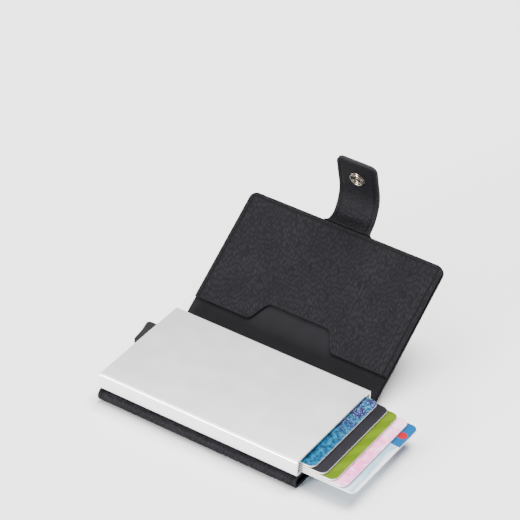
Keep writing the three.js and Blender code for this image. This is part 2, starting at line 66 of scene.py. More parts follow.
CASE_SILVERS = ("#E4E4E6", "#E7E7E9")
CASE_BRIGHT = "#F8F8F9"
MERGE_UNDER = 0.001 * MM
SMOOTH_UNDER = math.radians(38)
FINER_BY = 4.0
FINER_SHARE = 0.35
case_low, case_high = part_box("case_shell")


def colour(code):
    """A screen colour such as "#37363A" as the linear red, green, blue and alpha that a shader takes."""
    screen = np.array([int(code[i:i + 2], 16) for i in (1, 3, 5)]) / 255
    linear = np.where(screen <= 0.04045, screen / 12.92, ((screen + 0.055) / 1.055) ** 2.4)
    return (*linear.tolist(), 1.0)


def rounded_profile(low, high, radius, inset=0.0, steps=9):
    """A rectangle with round corners, drawn in by its inset. Each corner is its centre plus the radius times
    the cosine and sine of an angle, and the angles run on through one whole turn."""
    angle = np.arange(4)[:, None] * np.pi / 2 + np.linspace(0, np.pi / 2, steps)
    (u0, v0), (u1, v1) = low, high
    reach = inset + radius
    centre_u = np.array([u1 - reach, u0 + reach, u0 + reach, u1 - reach])[:, None]
    centre_v = np.array([v1 - reach, v1 - reach, v0 + reach, v0 + reach])[:, None]
    corners = [centre_u + radius * np.cos(angle), centre_v + radius * np.sin(angle)]
    return np.stack(corners, axis=-1).reshape(-1, 2)


def along_x(x, profile):
    """A profile in Y and Z, set at one or more places along X: one row of points for each place."""
    x = np.atleast_1d(x)
    rows = np.empty((len(x), len(profile), 3))
    rows[..., 0] = x[:, None]
    rows[..., 1:] = profile
    return rows


def smooth(mesh):
    """Shades a mesh smooth across every edge but the sharp ones."""
    mesh.polygons.foreach_set("use_smooth", np.ones(len(mesh.polygons), bool))
    mesh.set_sharp_from_angle(angle=SMOOTH_UNDER)


def closed_mesh(name, points, faces, merge=False):
    """A mesh with its faces turned outwards, so that it encloses a volume above zero. Merging makes points
    that coincide, as at a pole, one."""
    mesh = bpy.data.meshes.new(name)
    mesh.from_pydata(points.tolist(), [], faces)
    work = bmesh.new()
    work.from_mesh(mesh)
    if merge:
        bmesh.ops.remove_doubles(work, verts=work.verts, dist=MERGE_UNDER)
    if work.calc_volume(signed=True) < 0:
        bmesh.ops.reverse_faces(work, faces=work.faces)
    work.to_mesh(mesh)
    work.free()
    smooth(mesh)
    return mesh


def quads(net, order=1):
    """One face for every four neighbours in a net of point numbers, turned over where order is -1."""
    corners = [net[:-1, :-1], net[:-1, 1:], net[1:, 1:], net[1:, :-1]][::order]
    return np.stack(corners, axis=-1).reshape(-1, 4).tolist()


def grid_mesh(name, grid, wrap_rows=False, caps=False, merge=False):
    """A mesh through a grid of points whose last column joins the first. The last row can be joined to the
    first too, or both be closed with a cap."""
    number = np.arange(grid.shape[0] * grid.shape[1]).reshape(grid.shape[:2])
    net = np.concatenate([number, number[:1]]) if wrap_rows else number
    faces = quads(np.concatenate([net, net[:, :1]], axis=1))
    if caps:
        faces += [number[0, ::-1].tolist(), number[-1].tolist()]
    return closed_mesh(name, grid.reshape(-1, 3), faces, merge)


def mark(mesh, name, values):
    """Keeps one number for each point of a mesh, for its material to read."""
    attribute = mesh.attributes.new(name, "FLOAT", "POINT")
    attribute.data.foreach_set("value", np.ascontiguousarray(values, np.float32).ravel())


def add_object(name, data):
    """Puts an object in the scene, at the origin."""
    made = bpy.data.objects.new(name, data)
    bpy.context.scene.collection.objects.link(made)
    return made


def place(mesh, material, body=None, stands_for=()):
    """Makes a finished mesh a piece with its material, on its body, in place of its CAD nodes."""
    piece = add_object(mesh.name, mesh)
    mesh.materials.append(material)
    if body:
        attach(piece, body)
    if stands_for:
        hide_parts(*stands_for)
    return piece


def wire(tree, kind, inputs=None, **settings):
    """Adds a shader node with its settings. Each of its inputs gets a value or another node's output."""
    made = tree.nodes.new("ShaderNode" + kind)
    for name, value in settings.items():
        setattr(made, name, value)
    for name, value in (inputs or {}).items():
        if isinstance(value, bpy.types.NodeSocket):
            tree.links.new(value, made.inputs[name])
        else:
            made.inputs[name].default_value = value
    return made


def maths(tree, operation, a, b):
    """One sum on two values."""
    return wire(tree, "Math", {0: a, 1: b}, operation=operation).outputs[0]


def mixed(tree, share, a, b):
    """Colour a turned into colour b by a share from 0 to 1. Either may be a screen colour."""
    a, b = (colour(shade) if isinstance(shade, str) else shade for shade in (a, b))
    return wire(tree, "Mix", {0: share, 6: a, 7: b}, data_type="RGBA").outputs[2]


def noise(tree, vector, scale, detail, roughness=0.5):
    """A cloud of values about one half."""
    inputs = {"Vector": vector, "Scale": scale, "Detail": detail, "Roughness": roughness}
    return wire(tree, "TexNoise", inputs).outputs[0]


def spread(tree, value, low, high, new_low=0.0, new_high=1.0):
    """A value between two numbers brought between two others, and held there."""
    return wire(tree, "MapRange", {0: value, 1: low, 2: high, 3: new_low, 4: new_high}).outputs[0]


def marked(tree, name):
    """The number that a mesh keeps for each of its points under one name."""
    return wire(tree, "Attribute", attribute_name=name).outputs["Fac"]


def new_material(name, **constants):
    """A material with its shader, the shader's constant sockets set, and the tree to wire."""
    material = bpy.data.materials.new(name)
    material.use_nodes = True
    shader = material.node_tree.nodes["Principled BSDF"]
    for socket, value in constants.items():
        shader.inputs[socket.replace("_", " ")].default_value = value
    return material, material.node_tree, shader


def new_group(name, output, **values):
    """A shader node group from a vector and named values to one value: its tree, inputs and output."""
    group = bpy.data.node_groups.new(name, "ShaderNodeTree")
    group.interface.new_socket("Vector", in_out="INPUT", socket_type="NodeSocketVector")
    for socket, value in values.items():
        made = group.interface.new_socket(socket, in_out="INPUT", socket_type="NodeSocketFloat")
        made.default_value = value
    group.interface.new_socket(output, in_out="OUTPUT", socket_type="NodeSocketFloat")
    result = group.nodes.new("NodeGroupOutput").inputs[output]
    return group, group.nodes.new("NodeGroupInput").outputs, result


def use_group(tree, group, **inputs):
    """Places a node group in a tree with its own values; returns what comes out of it."""
    return wire(tree, "Group", inputs, node_tree=group).outputs[0]


def make_fine_grain():
    """The finest texture of a surface: noise of one size with a second, finer noise on it."""
    group, given, height = new_group("fine grain", "Height", Size=0.2 * MM)
    scale = maths(group, "DIVIDE", 1.0, given["Size"])
    coarse = noise(group, given["Vector"], scale, 1.5)
    fine = noise(group, given["Vector"], maths(group, "MULTIPLY", scale, FINER_BY), 1.0)
    group.links.new(maths(group, "ADD", coarse, maths(group, "MULTIPLY", fine, FINER_SHARE)), height)
    return group


def make_drift():
    """The slow drift of tone over a surface: soft noise spread between a low and a high value."""
    group, given, drift = new_group("tone drift", "Value", Size=10 * MM, Low=0.0, High=1.0)
    soft = noise(group, given["Vector"], maths(group, "DIVIDE", 1.0, given["Size"]), 3.0)
    group.links.new(spread(group, soft, 0.3, 0.7, given["Low"], given["High"]), drift)
    return group


fine_grain = make_fine_grain()
tone_drift = make_drift()


def add_bump(tree, shader, vector, grain, height):
    """Gives a shader a fine bump of one grain size."""
    grains = use_group(tree, fine_grain, Vector=vector, Size=grain)
    bump = wire(tree, "Bump", {"Height": grains, "Distance": height, "Strength": 1.0})
    tree.links.new(bump.outputs[0], shader.inputs["Normal"])


def roughen(tree, shader, vector, grain, height, rough, drift=12 * MM):
    """Gives a shader a fine bump and a roughness that drifts between two values."""
    drifting = use_group(tree, tone_drift, Vector=vector, Size=drift, Low=rough[0], High=rough[1])
    tree.links.new(drifting, shader.inputs["Roughness"])
    add_bump(tree, shader, vector, grain, height)


def two_toned(name, tones, patch, grain, height, rough, drift=12, flecked=False, sawn=None, **constants):
    """A plain finish, sizes in millimetres: two tones that drift into each other over patches or, where it
    is flecked, follow a grain, with a fine bump and a drifting roughness. Sawn is its colour where sawn."""
    material, tree, shader = new_material(name, **constants)
    where = wire(tree, "TexCoord").outputs["Object"]
    share = use_group(tree, fine_grain if flecked else tone_drift, Vector=where, Size=patch * MM)
    skin = mixed(tree, share, *tones)
    if sawn:
        skin = mixed(tree, marked(tree, "sawn"), skin, sawn)
    tree.links.new(skin, shader.inputs["Base Color"])
    roughen(tree, shader, where, grain * MM, height * MM, rough, drift * MM)
    return material


def make_case():
    """A ring swept along X: its rows go out along the outer profile and come back along the bore. At each
    end the outer profile draws in, and the bore opens, by the break of the edge."""
    x0, x1 = case_low.x, case_high.x
    outer, outer_end, bore, bore_end = (
        rounded_profile(case_low.yz, case_high.yz, edge, inset)
        for edge, inset in ((CASE_EDGE, 0), (CASE_EDGE - CASE_END_BREAK, CASE_END_BREAK),
                            (CASE_BORE_EDGE, CASE_WALL), (CASE_BORE_EDGE, CASE_WALL - CASE_END_BREAK)))
    spans = np.linspace(x0 + CASE_END_BREAK, x1 - CASE_END_BREAK, CASE_ROWS)
    rows = [along_x(x0, outer_end), along_x(spans, outer), along_x(x1, outer_end),
            along_x(x1, bore_end), along_x(spans[::-1], bore), along_x(x0, bore_end)]
    mesh = grid_mesh("metal_case", np.concatenate(rows), wrap_rows=True)
    plain = np.zeros(CASE_ROWS)
    mark(mesh, "sawn", np.repeat(np.concatenate([[1], plain, [1, 1], plain, [1]]), len(outer)))
    return mesh


aluminium = two_toned("satin aluminium", CASE_SILVERS, patch=18, grain=0.16, height=0.002,
                      rough=(0.34, 0.38), sawn=CASE_BRIGHT, Metallic=0.7)
place(make_case(), aluminium, "base", ["case_shell"])


# The end frame and its pin: a moulded black insert pushed into the tube at the lever's end, with a steel
# pin that the lever turns on. Their CAD shapes are right, so they only get their finishes.
nodes = frame["nodes"]


def bright_metal(name, tones, rough):
    """Polished or plated metal with hair scratches in its gloss."""
    return two_toned(name, tones, patch=1.5, grain=0.12, height=0.0008, rough=rough, drift=1.2, Metallic=1.0)


def refinish(node, material):
    """Gives a CAD node that stays in view its finish."""
    nodes[node].data.materials.clear()
    nodes[node].data.materials.append(material)


black_plastic = two_toned("black plastic", ("#18181A", "#1F1F21"), patch=4, grain=0.12, height=0.01,
                          rough=(0.38, 0.5), Specular_IOR_Level=0.18)
refinish("end_frame", black_plastic)
refinish("lever_pivot_pin", bright_metal("steel", ("#C4C5C7", "#A4A6A9"), rough=(0.22, 0.34)))


# The eject lever: one black moulding, a staircase of arms under the cards with a thumb tab that stands
# out of the tube. It keeps the CAD shape, with every edge softened as the mould leaves it.
LEVER_EDGE = 0.32 * MM
LEVER_MERGE = 0.002 * MM
LEVER_FLAT = math.radians(0.6)
LEVER_SOFTEN_OVER = math.radians(35)


def flat_faced_copy(node, name):
    """A copy of a CAD node's mesh with its loose triangles merged into flat faces."""
    mesh = nodes[node].data.copy()
    mesh.name = name
    work = bmesh.new()
    work.from_mesh(mesh)
    bmesh.ops.remove_doubles(work, verts=work.verts, dist=LEVER_MERGE)
    bmesh.ops.dissolve_limit(work, angle_limit=LEVER_FLAT, verts=work.verts, edges=work.edges)
    work.to_mesh(mesh)
    work.free()
    smooth(mesh)
    mesh.materials.clear()
    return mesh


lever_mesh = flat_faced_copy("eject_lever", "eject_lever_moulding")
lever = place(lever_mesh, black_plastic, "lever", ["eject_lever"])
soften = lever.modifiers.new("soft edges", "BEVEL")
soften.width = LEVER_EDGE
soften.segments = 3
soften.limit_method = "ANGLE"
soften.angle_limit = LEVER_SOFTEN_OVER


# The friction strips: dyed wool felt glued inside each side wall, which the cards rub along. Each is a
# soft bar with round edges and a slightly uneven nap.
FELT_EDGE = 0.45 * MM
FELT_NAP = 0.05
FELT_WAVES = (2.3 * MM, 0.9 * MM)
FELT_END_DRAW = 0.3
FELT_END_SHARES = np.array([0, 0.1, 0.4])


def make_felt_bar(name, low, high):
    """A bar along X with a rounded section that draws in at both ends, and a nap of crossed sine waves."""
    x = np.concatenate([low.x + FELT_EDGE * FELT_END_SHARES,
                        np.linspace(low.x + FELT_EDGE, high.x - FELT_EDGE, 60),
                        high.x - FELT_EDGE * FELT_END_SHARES[::-1]])
    grid = along_x(x, rounded_profile(low.yz, high.yz, FELT_EDGE))
    middle = np.array((low + high).yz / 2)
    reach = np.clip(np.minimum(x - low.x, high.x - x) / FELT_EDGE, 0, 1)
    draw = 1 - FELT_END_DRAW * (1 - np.sqrt(1 - (1 - reach) ** 2))
    nap = 1 - FELT_NAP * (0.5 + 0.5 * np.sin(x / FELT_WAVES[0]) * np.cos(x / FELT_WAVES[1]))
    grid[..., 1:] = middle + (grid[..., 1:] - middle) * (draw * nap)[:, None, None]
    return grid_mesh(name, grid, caps=True)


felt = two_toned("felt", ("#232325", "#3C3C3F"), patch=0.25, grain=0.18, height=0.09, rough=(0.86, 0.96),
                 flecked=True, Sheen_Weight=0.5, Sheen_Roughness=0.6)
for side in ("front", "rear"):
    node = f"friction_strip_{side}"
    place(make_felt_bar(f"felt_strip_{side}", *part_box(node)), felt, "base", [node])


# The five cards: laminated plastic to the bank card format, printed on both faces, with the white core
# showing round the rim. Each rides on its own and is drawn out one step further than the one above it.
CARD_CORNER = 3.18 * MM
CARD_RIM = 0.07 * MM
CARD_FACE_BORDER = 1.5 * MM
CARD_CORE = "#DADAD8"
CARD_GLOSS = 0.07
PRINT_HALF = 27.0
BAND_TURN = math.radians(35)
BORDER_FROM = 41.7
BLOCK_FROM = 14.6
BLOCK_LEAN = 0.1
DISC_CENTRE = (39.6, 18.0, 0.0)
DISC_RADIUS = 2.3


def stacked_loops(name, low, high, corner, edge, inset, height, steps=9):
    """A plate of loops, each the plate's rounded outline drawn in by its inset and set at its height, with
    one face that closes it above and one below."""
    loops = np.stack([rounded_profile(low.xy, high.xy, max(corner - i, edge / 2), i, steps) for i in inset])
    heights = np.repeat(height[:, None], loops.shape[1], axis=1)
    return grid_mesh(name, np.concatenate([loops, heights[..., None]], axis=-1), caps=True)


def make_card(name, low, high):
    """A plate whose outline draws in towards each face: the inset and the height of each loop follow a
    small quarter circle at the rim, then the loop steps in on the flat face."""
    rim = np.linspace(0, np.pi / 2, 4)
    draw_in = CARD_RIM * (1 - np.cos(rim))
    inset = np.concatenate([[CARD_FACE_BORDER], draw_in[::-1], draw_in, [CARD_FACE_BORDER]])
    drop = CARD_RIM * (1 - np.sin(rim[::-1]))
    height = np.concatenate([[high.z], high.z - drop, low.z + drop[::-1], [low.z]])
    mesh = stacked_loops(name, low, high, CARD_CORNER, CARD_RIM, inset, height)
    mark(mesh, "printed", np.repeat(inset > CARD_RIM * 0.8, len(mesh.vertices) // len(inset)))
    return mesh


def card_finish(name, low, high, print_colour):
    """A laminated card: its print, a clear gloss over it with faint scratches, and the white core's rim.
    The print is drawn in millimetres from the middle of the card, X towards the mouth and Y across."""
    material, tree, shader = new_material(name, Coat_Roughness=0.12, Specular_IOR_Level=0.1)
    where = wire(tree, "TexCoord").outputs["Object"]
    centre = (low + high) / 2
    on_card = wire(tree, "Mapping", {0: where, 1: tuple(-centre / MM), 3: (1 / MM,) * 3}).outputs[0]
    printed = marked(tree, "printed")
    face = print_colour(tree, on_card)
    tree.links.new(mixed(tree, printed, CARD_CORE, face), shader.inputs["Base Color"])
    tree.links.new(maths(tree, "MULTIPLY", printed, CARD_GLOSS), shader.inputs["Coat Weight"])
    roughen(tree, shader, where, 0.3 * MM, 0.003 * MM, (0.3, 0.42))
    return material


def stepped(tree, value, stops):
    """A colour read from a value between stops, each a place from 0 to 1 and a screen colour."""
    ramp = wire(tree, "ValToRGB", {0: value})
    band = ramp.color_ramp
    while len(band.elements) < len(stops):
        band.elements.new(1.0)
    for element, (position, code) in zip(band.elements, stops):
        element.position = position
        element.color = colour(code)
    return ramp.outputs[0]


def across(tree, spot):
    """How far a point lies across a card, from 0 to 1."""
    return spread(tree, wire(tree, "SeparateXYZ", {0: spot}).outputs["Y"], -PRINT_HALF, PRINT_HALF)


def mottled_teal(tree, spot):
    """Teal with a fine speckle, mottled with violet and sparkling more towards one side."""
    cloud = noise(tree, spot, 0.5, 5.0, 0.7)
    teal = stepped(tree, cloud, [(0.36, "#01263E"), (0.5, "#01476A"), (0.64, "#026A8E"), (0.82, "#1489A8")])
    violet = stepped(tree, cloud, [(0.36, "#110B2C"), (0.5, "#241A4A"), (0.64, "#2B3F78"), (0.8, "#4C86A6")])
    side = across(tree, spot)
    patch = spread(tree, noise(tree, spot, 0.22, 2.0), 0.4, 0.58)
    purple = maths(tree, "MULTIPLY", spread(tree, side, 0.4, 0.75), patch)
    glint = spread(tree, noise(tree, spot, 1.8, 1.0), 0.6, 0.7)
    spark = maths(tree, "MULTIPLY", glint, spread(tree, side, 0.3, 1.0, 0.03, 0.6))
    return mixed(tree, spark, mixed(tree, purple, teal, violet), "#B9E4EA")


def plain_slate(tree, spot):
    """A dark plum grey, barely clouded."""
    return stepped(tree, noise(tree, spot, 0.07, 2.0), [(0.3, "#19181C"), (0.7, "#1F1D23")])


def banded_lime(tree, spot):
    """Lime green with broad slanted bands, one a little lighter than the next."""
    slanted = wire(tree, "Mapping", {0: spot, 2: (0, 0, BAND_TURN), 3: (0.045, 0.045, 1)}).outputs[0]
    wave = wire(tree, "TexWave", {"Vector": slanted, "Scale": 0.9, "Distortion": 0.6}).outputs["Fac"]
    return stepped(tree, wave, [(0.2, "#4C6301"), (0.8, "#556E04")])


def blushing_pink(tree, spot):
    """Pale pink, deeper towards one side and almost white towards the other, with soft blots of both."""
    ground = stepped(tree, across(tree, spot), [(0.02, "#F2A8D6"), (0.25, "#EE78C2"), (0.55, "#F08FC4"),
                                                (0.8, "#F2A2D2"), (0.97, "#F4C4DE")])
    cloud = noise(tree, spot, 0.3, 4.0, 0.65)
    blotted = mixed(tree, spread(tree, cloud, 0.5, 0.66, 0.0, 0.8), ground, "#F6D2E6")
    return mixed(tree, spread(tree, cloud, 0.46, 0.3, 0.0, 0.7), blotted, "#E257B4")


def waves_and_block(tree, spot):
    """White with pale blue waves and a plain border, and at one side a blue block with a red disc."""
    drawn = wire(tree, "Mapping", {0: spot, 3: (0.2, 0.045, 1.0)}).outputs[0]
    waves = stepped(tree, noise(tree, drawn, 1.0, 1.0),
                    [(0.3, "#C0CDD7"), (0.48, "#84AAC2"), (0.62, "#C2CED7")])
    along, over, _ = wire(tree, "SeparateXYZ", {0: spot}).outputs
    base = mixed(tree, maths(tree, "GREATER_THAN", along, BORDER_FROM), waves, "#D8DCDF")
    leaning = maths(tree, "ADD", over, maths(tree, "MULTIPLY", along, BLOCK_LEAN))
    block = mixed(tree, maths(tree, "GREATER_THAN", leaning, BLOCK_FROM), base, "#004F80")
    apart = wire(tree, "VectorMath", {0: spot, 1: DISC_CENTRE}, operation="DISTANCE").outputs["Value"]
    return mixed(tree, maths(tree, "LESS_THAN", apart, DISC_RADIUS), block, "#98081E")


CARD_PRINTS = ((mottled_teal, "card_ice_print"), (plain_slate, "card_slate"), (banded_lime, "card_lime"),
               (blushing_pink, "card_pink"), (waves_and_block, "card_white"))
for number, (print_colour, slot) in enumerate(CARD_PRINTS, start=1):
    node = f"card_{number}"
    low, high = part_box(node)
    finish = card_finish(f"{print_colour.__name__} print", low, high, print_colour)
    place(make_card(f"printed_{node}", low, high), finish, node, [node])


# The mounting tape: a sheet of off-white foam tape that holds the tube on the cover. Only its edge
# shows, as a thin line between metal and leather.
TAPE_CORNER = 1.5 * MM
TAPE_EDGE = 0.12 * MM


def make_plate(name, low, high, corner, edge):
    """A flat sheet with rounded corners and edges: the inset and the height of each loop follow a half
    circle round the rim, then the loop steps in on the flat face."""
    half = (high.z - low.z) / 2
    angle = np.linspace(np.pi / 2, -np.pi / 2, 7)
    inset = np.concatenate([[corner], edge * (1 - np.cos(angle)), [corner]])
    height = np.concatenate([[half], half * np.sin(angle), [-half]]) + (low.z + half)
    return stacked_loops(name, low, high, corner, edge, inset, height, 6)


foam = two_toned("foam tape", ("#C9C9C4", "#E6E6E1"), patch=0.2, grain=0.15, height=0.03,
                 rough=(0.6, 0.75), flecked=True)
place(make_plate("foam_tape", *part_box("mounting_tape"), TAPE_CORNER, TAPE_EDGE), foam, "base",
      ["mounting_tape"])


# The back cover: one piece of black pebbled leather under the tube, folded round at the front into a flat
# note pocket and glued down along the rear. Its cut ends are painted, in a grey lighter than the leather
# that is partly a painted highlight, and a crease runs just inside them.
LEATHER = 1.3 * MM
PEBBLE_WIDTH = 1.1 * MM
PEBBLE_LENGTH = 2.6 * MM
PEBBLE_LENGTH_STRAP = 2.0 * MM
PEBBLE_LEAN = 0.4
PEBBLE_HEIGHT = 0.2 * MM
PEBBLE_SOFTNESS = 0.48
PEBBLE_CELLS = 256
PEBBLE_SWAYS = ((0.35, 4.1 * MM), (0.3, 5.3 * MM), (0.45, 3.7 * MM))
UNDULATION = 0.06 * MM
UNDULATION_WAVES = ((13, 17, 0.0), (7.1, -9.3, 1.3), (math.inf, 6.2, 0.4))
CALM_WITHIN = 6 * MM
EDGE_ROUND = 0.3 * MM
CREASE_INSET = 1.9 * MM
CREASE_WIDTH = 0.28 * MM
CREASE_DEPTH = 0.15 * MM
# Towards the strap's tip the grain is rubbed down and darkened: real wear, and painted shade for the upper
# strap, which faces away from the light.
RUB_AND_SHADE_START = 8 * MM
RUB_AND_SHADE_LENGTH = 20 * MM
RUB_AND_SHADE_SHARE = 0.75
GRAIN_STEP = 0.28 * MM
FLAP_LENGTH = 58.69 * MM
COVER_SEAM = 30.2 * MM
COVER_REAR_ROUND = 0.9 * MM
COVER_POCKET_STEP = 2 * MM
SEAM_RUN = -16.227 * MM
SEAM_THICKNESS = 1.1 * MM
EDGE_PLACES = MM * np.array(
    [0, 0.04, 0.1, 0.18, 0.28, 0.42, 0.7, 1.1, 1.4, 1.6, 1.75, 1.9, 2.05, 2.2, 2.4, 2.7])
LEATHER_TOPS = ("#161519", "#1C1B1F")
# Painted shade: the creases between pebbles are coloured darker than the tops, for the shade that falls in
# them.
LEATHER_SHADED_CREASES = "#0D0D0F"
LEATHER_PRESSED = "#0A0A0C"
# Edge paint with a painted highlight: a grey lighter than the leather, partly so that the cut edges read as
# catching light.
EDGE_PAINT_AND_HIGHLIGHT = "#28272B"
cover_low, cover_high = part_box("back_cover")


def pebbles(x, run, seed):
    """Leather grain: 1 on top of a pebble and 0 in the creases between. The plane is cut into cells one
    pebble wide and long, each with one seed at a random place, and the height follows the distance to the
    second nearest seed less that to the nearest. The cells lean, slow sine waves keep the rows from lining
    up, and on the strap the cells are shorter."""
    chance = np.random.RandomState(seed).rand(2, PEBBLE_CELLS, PEBBLE_CELLS)
    long_part, strap_part = np.minimum(run, FLAP_LENGTH), np.maximum(run - FLAP_LENGTH, 0)
    sways = [sway * np.sin(along / wave) for along, (sway, wave) in zip((run, x, x), PEBBLE_SWAYS)]
    u = (x + PEBBLE_LEAN * long_part) / PEBBLE_WIDTH + sways[0] + sways[1]
    v = long_part / PEBBLE_LENGTH + strap_part / PEBBLE_LENGTH_STRAP + sways[2]
    cell_u, cell_v = np.floor(u).astype(int), np.floor(v).astype(int)
    nearest = np.full(np.shape(u), 9.0)
    second = nearest.copy()
    for i in (-1, 0, 1):
        for j in (-1, 0, 1):
            at = ((cell_u + i) % PEBBLE_CELLS, (cell_v + j) % PEBBLE_CELLS)
            apart = np.hypot(u - cell_u - i - chance[0][at], v - cell_v - j - chance[1][at])
            second = np.minimum(second, np.maximum(nearest, apart))
            nearest = np.minimum(nearest, apart)
    return ease((second - nearest) / PEBBLE_SOFTNESS)


def ease(share):
    """A share held between 0 and 1, easing at both ends: three times its square less twice its cube."""
    share = np.clip(share, 0, 1)
    return share * share * (3 - 2 * share)


def undulation(x, run):
    """The slow unevenness of worked leather, between -1 and 1: the mean of crossed sine waves."""
    waves = [np.sin(x / (wide * MM) + run / (long * MM) + start) for wide, long, start in UNDULATION_WAVES]
    return sum(waves) / len(waves)


def edge_fall(margin):
    """How far a face falls near a cut edge: a quarter circle that ends at the edge."""
    near = np.clip(1 - margin / EDGE_ROUND, 0, 1)
    return EDGE_ROUND * (1 - np.sqrt(1 - near ** 2))


def leather_face(x, run, margin, seed=7, creased=None):
    """Height of a pebbled face over its flat place, and its marks of pebbles, crease and edge. The crease is
    a groove, a bell curve about its inset from the creased edges, whose distance is given where not all are
    creased. The grain fades out at the rounded edge and in the crease. Towards the strap's tip it is rubbed
    down and its colour falls to the crease tone: partly wear, partly painted shade on the strap's upper
    part, which faces away from the light."""
    from_crease = (margin if creased is None else creased) - CREASE_INSET
    inside = np.clip((margin - 0.5 * EDGE_ROUND) / (1.2 * EDGE_ROUND), 0, 1)
    pressed = np.exp(-(from_crease / (1.5 * CREASE_WIDTH)) ** 2)
    groove = CREASE_DEPTH * np.exp(-(from_crease / CREASE_WIDTH) ** 2)
    # Wear with painted shade: towards the strap's tip the pebbles flatten and their colour falls to the
    # crease tone.
    left = 1 - RUB_AND_SHADE_SHARE * np.clip((run - FLAP_LENGTH - RUB_AND_SHADE_START) / RUB_AND_SHADE_LENGTH, 0, 1)
    pebble = pebbles(x, run, seed)
    calm = np.clip(margin / CALM_WITHIN, 0, 1)
    height = (PEBBLE_HEIGHT * (pebble - 1) * inside * left * (1 - 0.7 * pressed)
              + UNDULATION * undulation(x, run) * calm - edge_fall(margin) - groove)
    return height, {"pebble": pebble * inside * left * (1 - pressed), "crease": pressed,
                    "rim": np.clip(1.25 - margin / EDGE_ROUND, 0, 1)}


def graded(low, high, step, fine_low=False, fine_high=False):
    """Places from low to high one step apart, with closer ones beside each end that is a cut edge, where
    the rounding and the crease are."""
    start = low + EDGE_PLACES if fine_low else np.array([low])
    end = high - EDGE_PLACES[::-1] if fine_high else np.array([high])
    count = max(2, int(round((end[0] - start[-1]) / step)) + 1)
    return np.concatenate([start[:-1], np.linspace(start[-1], end[0], count), end[1:]])


def set_layout(mesh, x, run):
    """Lays the piece flat as it was cut: a UV map in metres, across by the length of the run."""
    corner = np.empty(len(mesh.loops), np.int32)
    mesh.loops.foreach_get("vertex_index", corner)
    flat = np.column_stack([np.ravel(x)[corner], np.ravel(run)[corner]]).astype(np.float32)
    mesh.uv_layers.new(name="cut").data.foreach_set("uv", flat.ravel())


def arc(centre_u, centre_v, radius, start, end, steps):
    """Points of a circle's arc in a profile, from one angle in degrees to another."""
    angle = np.radians(np.linspace(start, end, steps))
    return list(zip(centre_u + radius * np.cos(angle), centre_v + radius * np.sin(angle)))


def cover_profile():
    """The outside of the folded cover in Y and Z, with the length along it. From the seam by the spine it
    goes forward along the underside, round the half circle of the fold, back over the top and down the
    rear wall."""
    radius = (cover_high.z - cover_low.z) / 2
    front, rear, top = cover_low.y + radius, cover_high.y, cover_high.z
    turn_y, turn_z = rear - COVER_REAR_ROUND, top - COVER_REAR_ROUND
    outside = np.concatenate([
        np.linspace((COVER_SEAM, 0), (front, 0), 170),
        arc(front, radius, radius, -90, -270, 35)[1:],
        np.linspace((front, top), (turn_y, top), 9)[1:],
        arc(turn_y, turn_z, COVER_REAR_ROUND, 90, 0, 6)[1:],
        np.linspace((rear, turn_z), (rear, SEAM_THICKNESS), 9)[1:],
        [(COVER_SEAM, SEAM_THICKNESS)]])
    step = np.hypot(*np.diff(outside, axis=0).T)
    return outside, SEAM_RUN - np.concatenate([[0], np.cumsum(step)])


def outward_normals(profile):
    """At each point of a profile the unit vector square to the line through its two neighbours."""
    forward = np.gradient(profile, axis=0)
    forward /= np.hypot(*forward.T)[:, None]
    return np.column_stack([-forward[:, 1], forward[:, 0]])


def make_cover():
    """A ring of rows along X. The outer rows carry the grain, pressed in and never out, so that the cover
    lies flat; the inner rows are the plain pocket, in from the outer ones by the leather's thickness."""
    outside, run = cover_profile()
    radius = (cover_high.z - cover_low.z) / 2
    fold_centre = np.array([cover_low.y + radius, radius])
    pocket = np.column_stack([np.clip(outside[:, 0], None, cover_high.y - LEATHER),
                              np.clip(outside[:, 1], LEATHER, cover_high.z - LEATHER)])
    fold = outside[:, 0] < fold_centre[0]
    pocket[fold] = fold_centre + (outside[fold] - fold_centre) * (1 - LEATHER / radius)
    x = graded(cover_low.x, cover_high.x, GRAIN_STEP, True, True)
    across_x, along_run = np.meshgrid(x, run, indexing="ij")
    margin = np.minimum(across_x - cover_low.x, cover_high.x - across_x)
    height, marks = leather_face(across_x, along_run, margin)
    outward = outward_normals(outside)
    outward[0] = [0, -1]
    outer = along_x(x, outside)
    grained = np.arange(len(run)) < len(run) - 2
    outer[..., 1:] += (np.minimum(height, 0) * grained)[..., None] * outward
    x0, x1 = cover_low.x, cover_high.x
    inner = along_x(np.array([x1, x1 - COVER_POCKET_STEP, x0 + COVER_POCKET_STEP, x0]), pocket)
    mesh = grid_mesh("leather_cover", np.concatenate([outer, inner]), wrap_rows=True)
    plain = np.zeros((4, len(run)))
    # The inner rows at the cut ends take the edge colour, paint that is partly a painted highlight.
    painted = plain + np.array([1, 0, 0, 1])[:, None]
    for name, values in marks.items():
        mark(mesh, name, np.concatenate([values, painted if name == "rim" else plain]))
    set_layout(mesh, np.concatenate([across_x, inner[..., 0]]), np.concatenate([along_run, plain + run]))
    return mesh


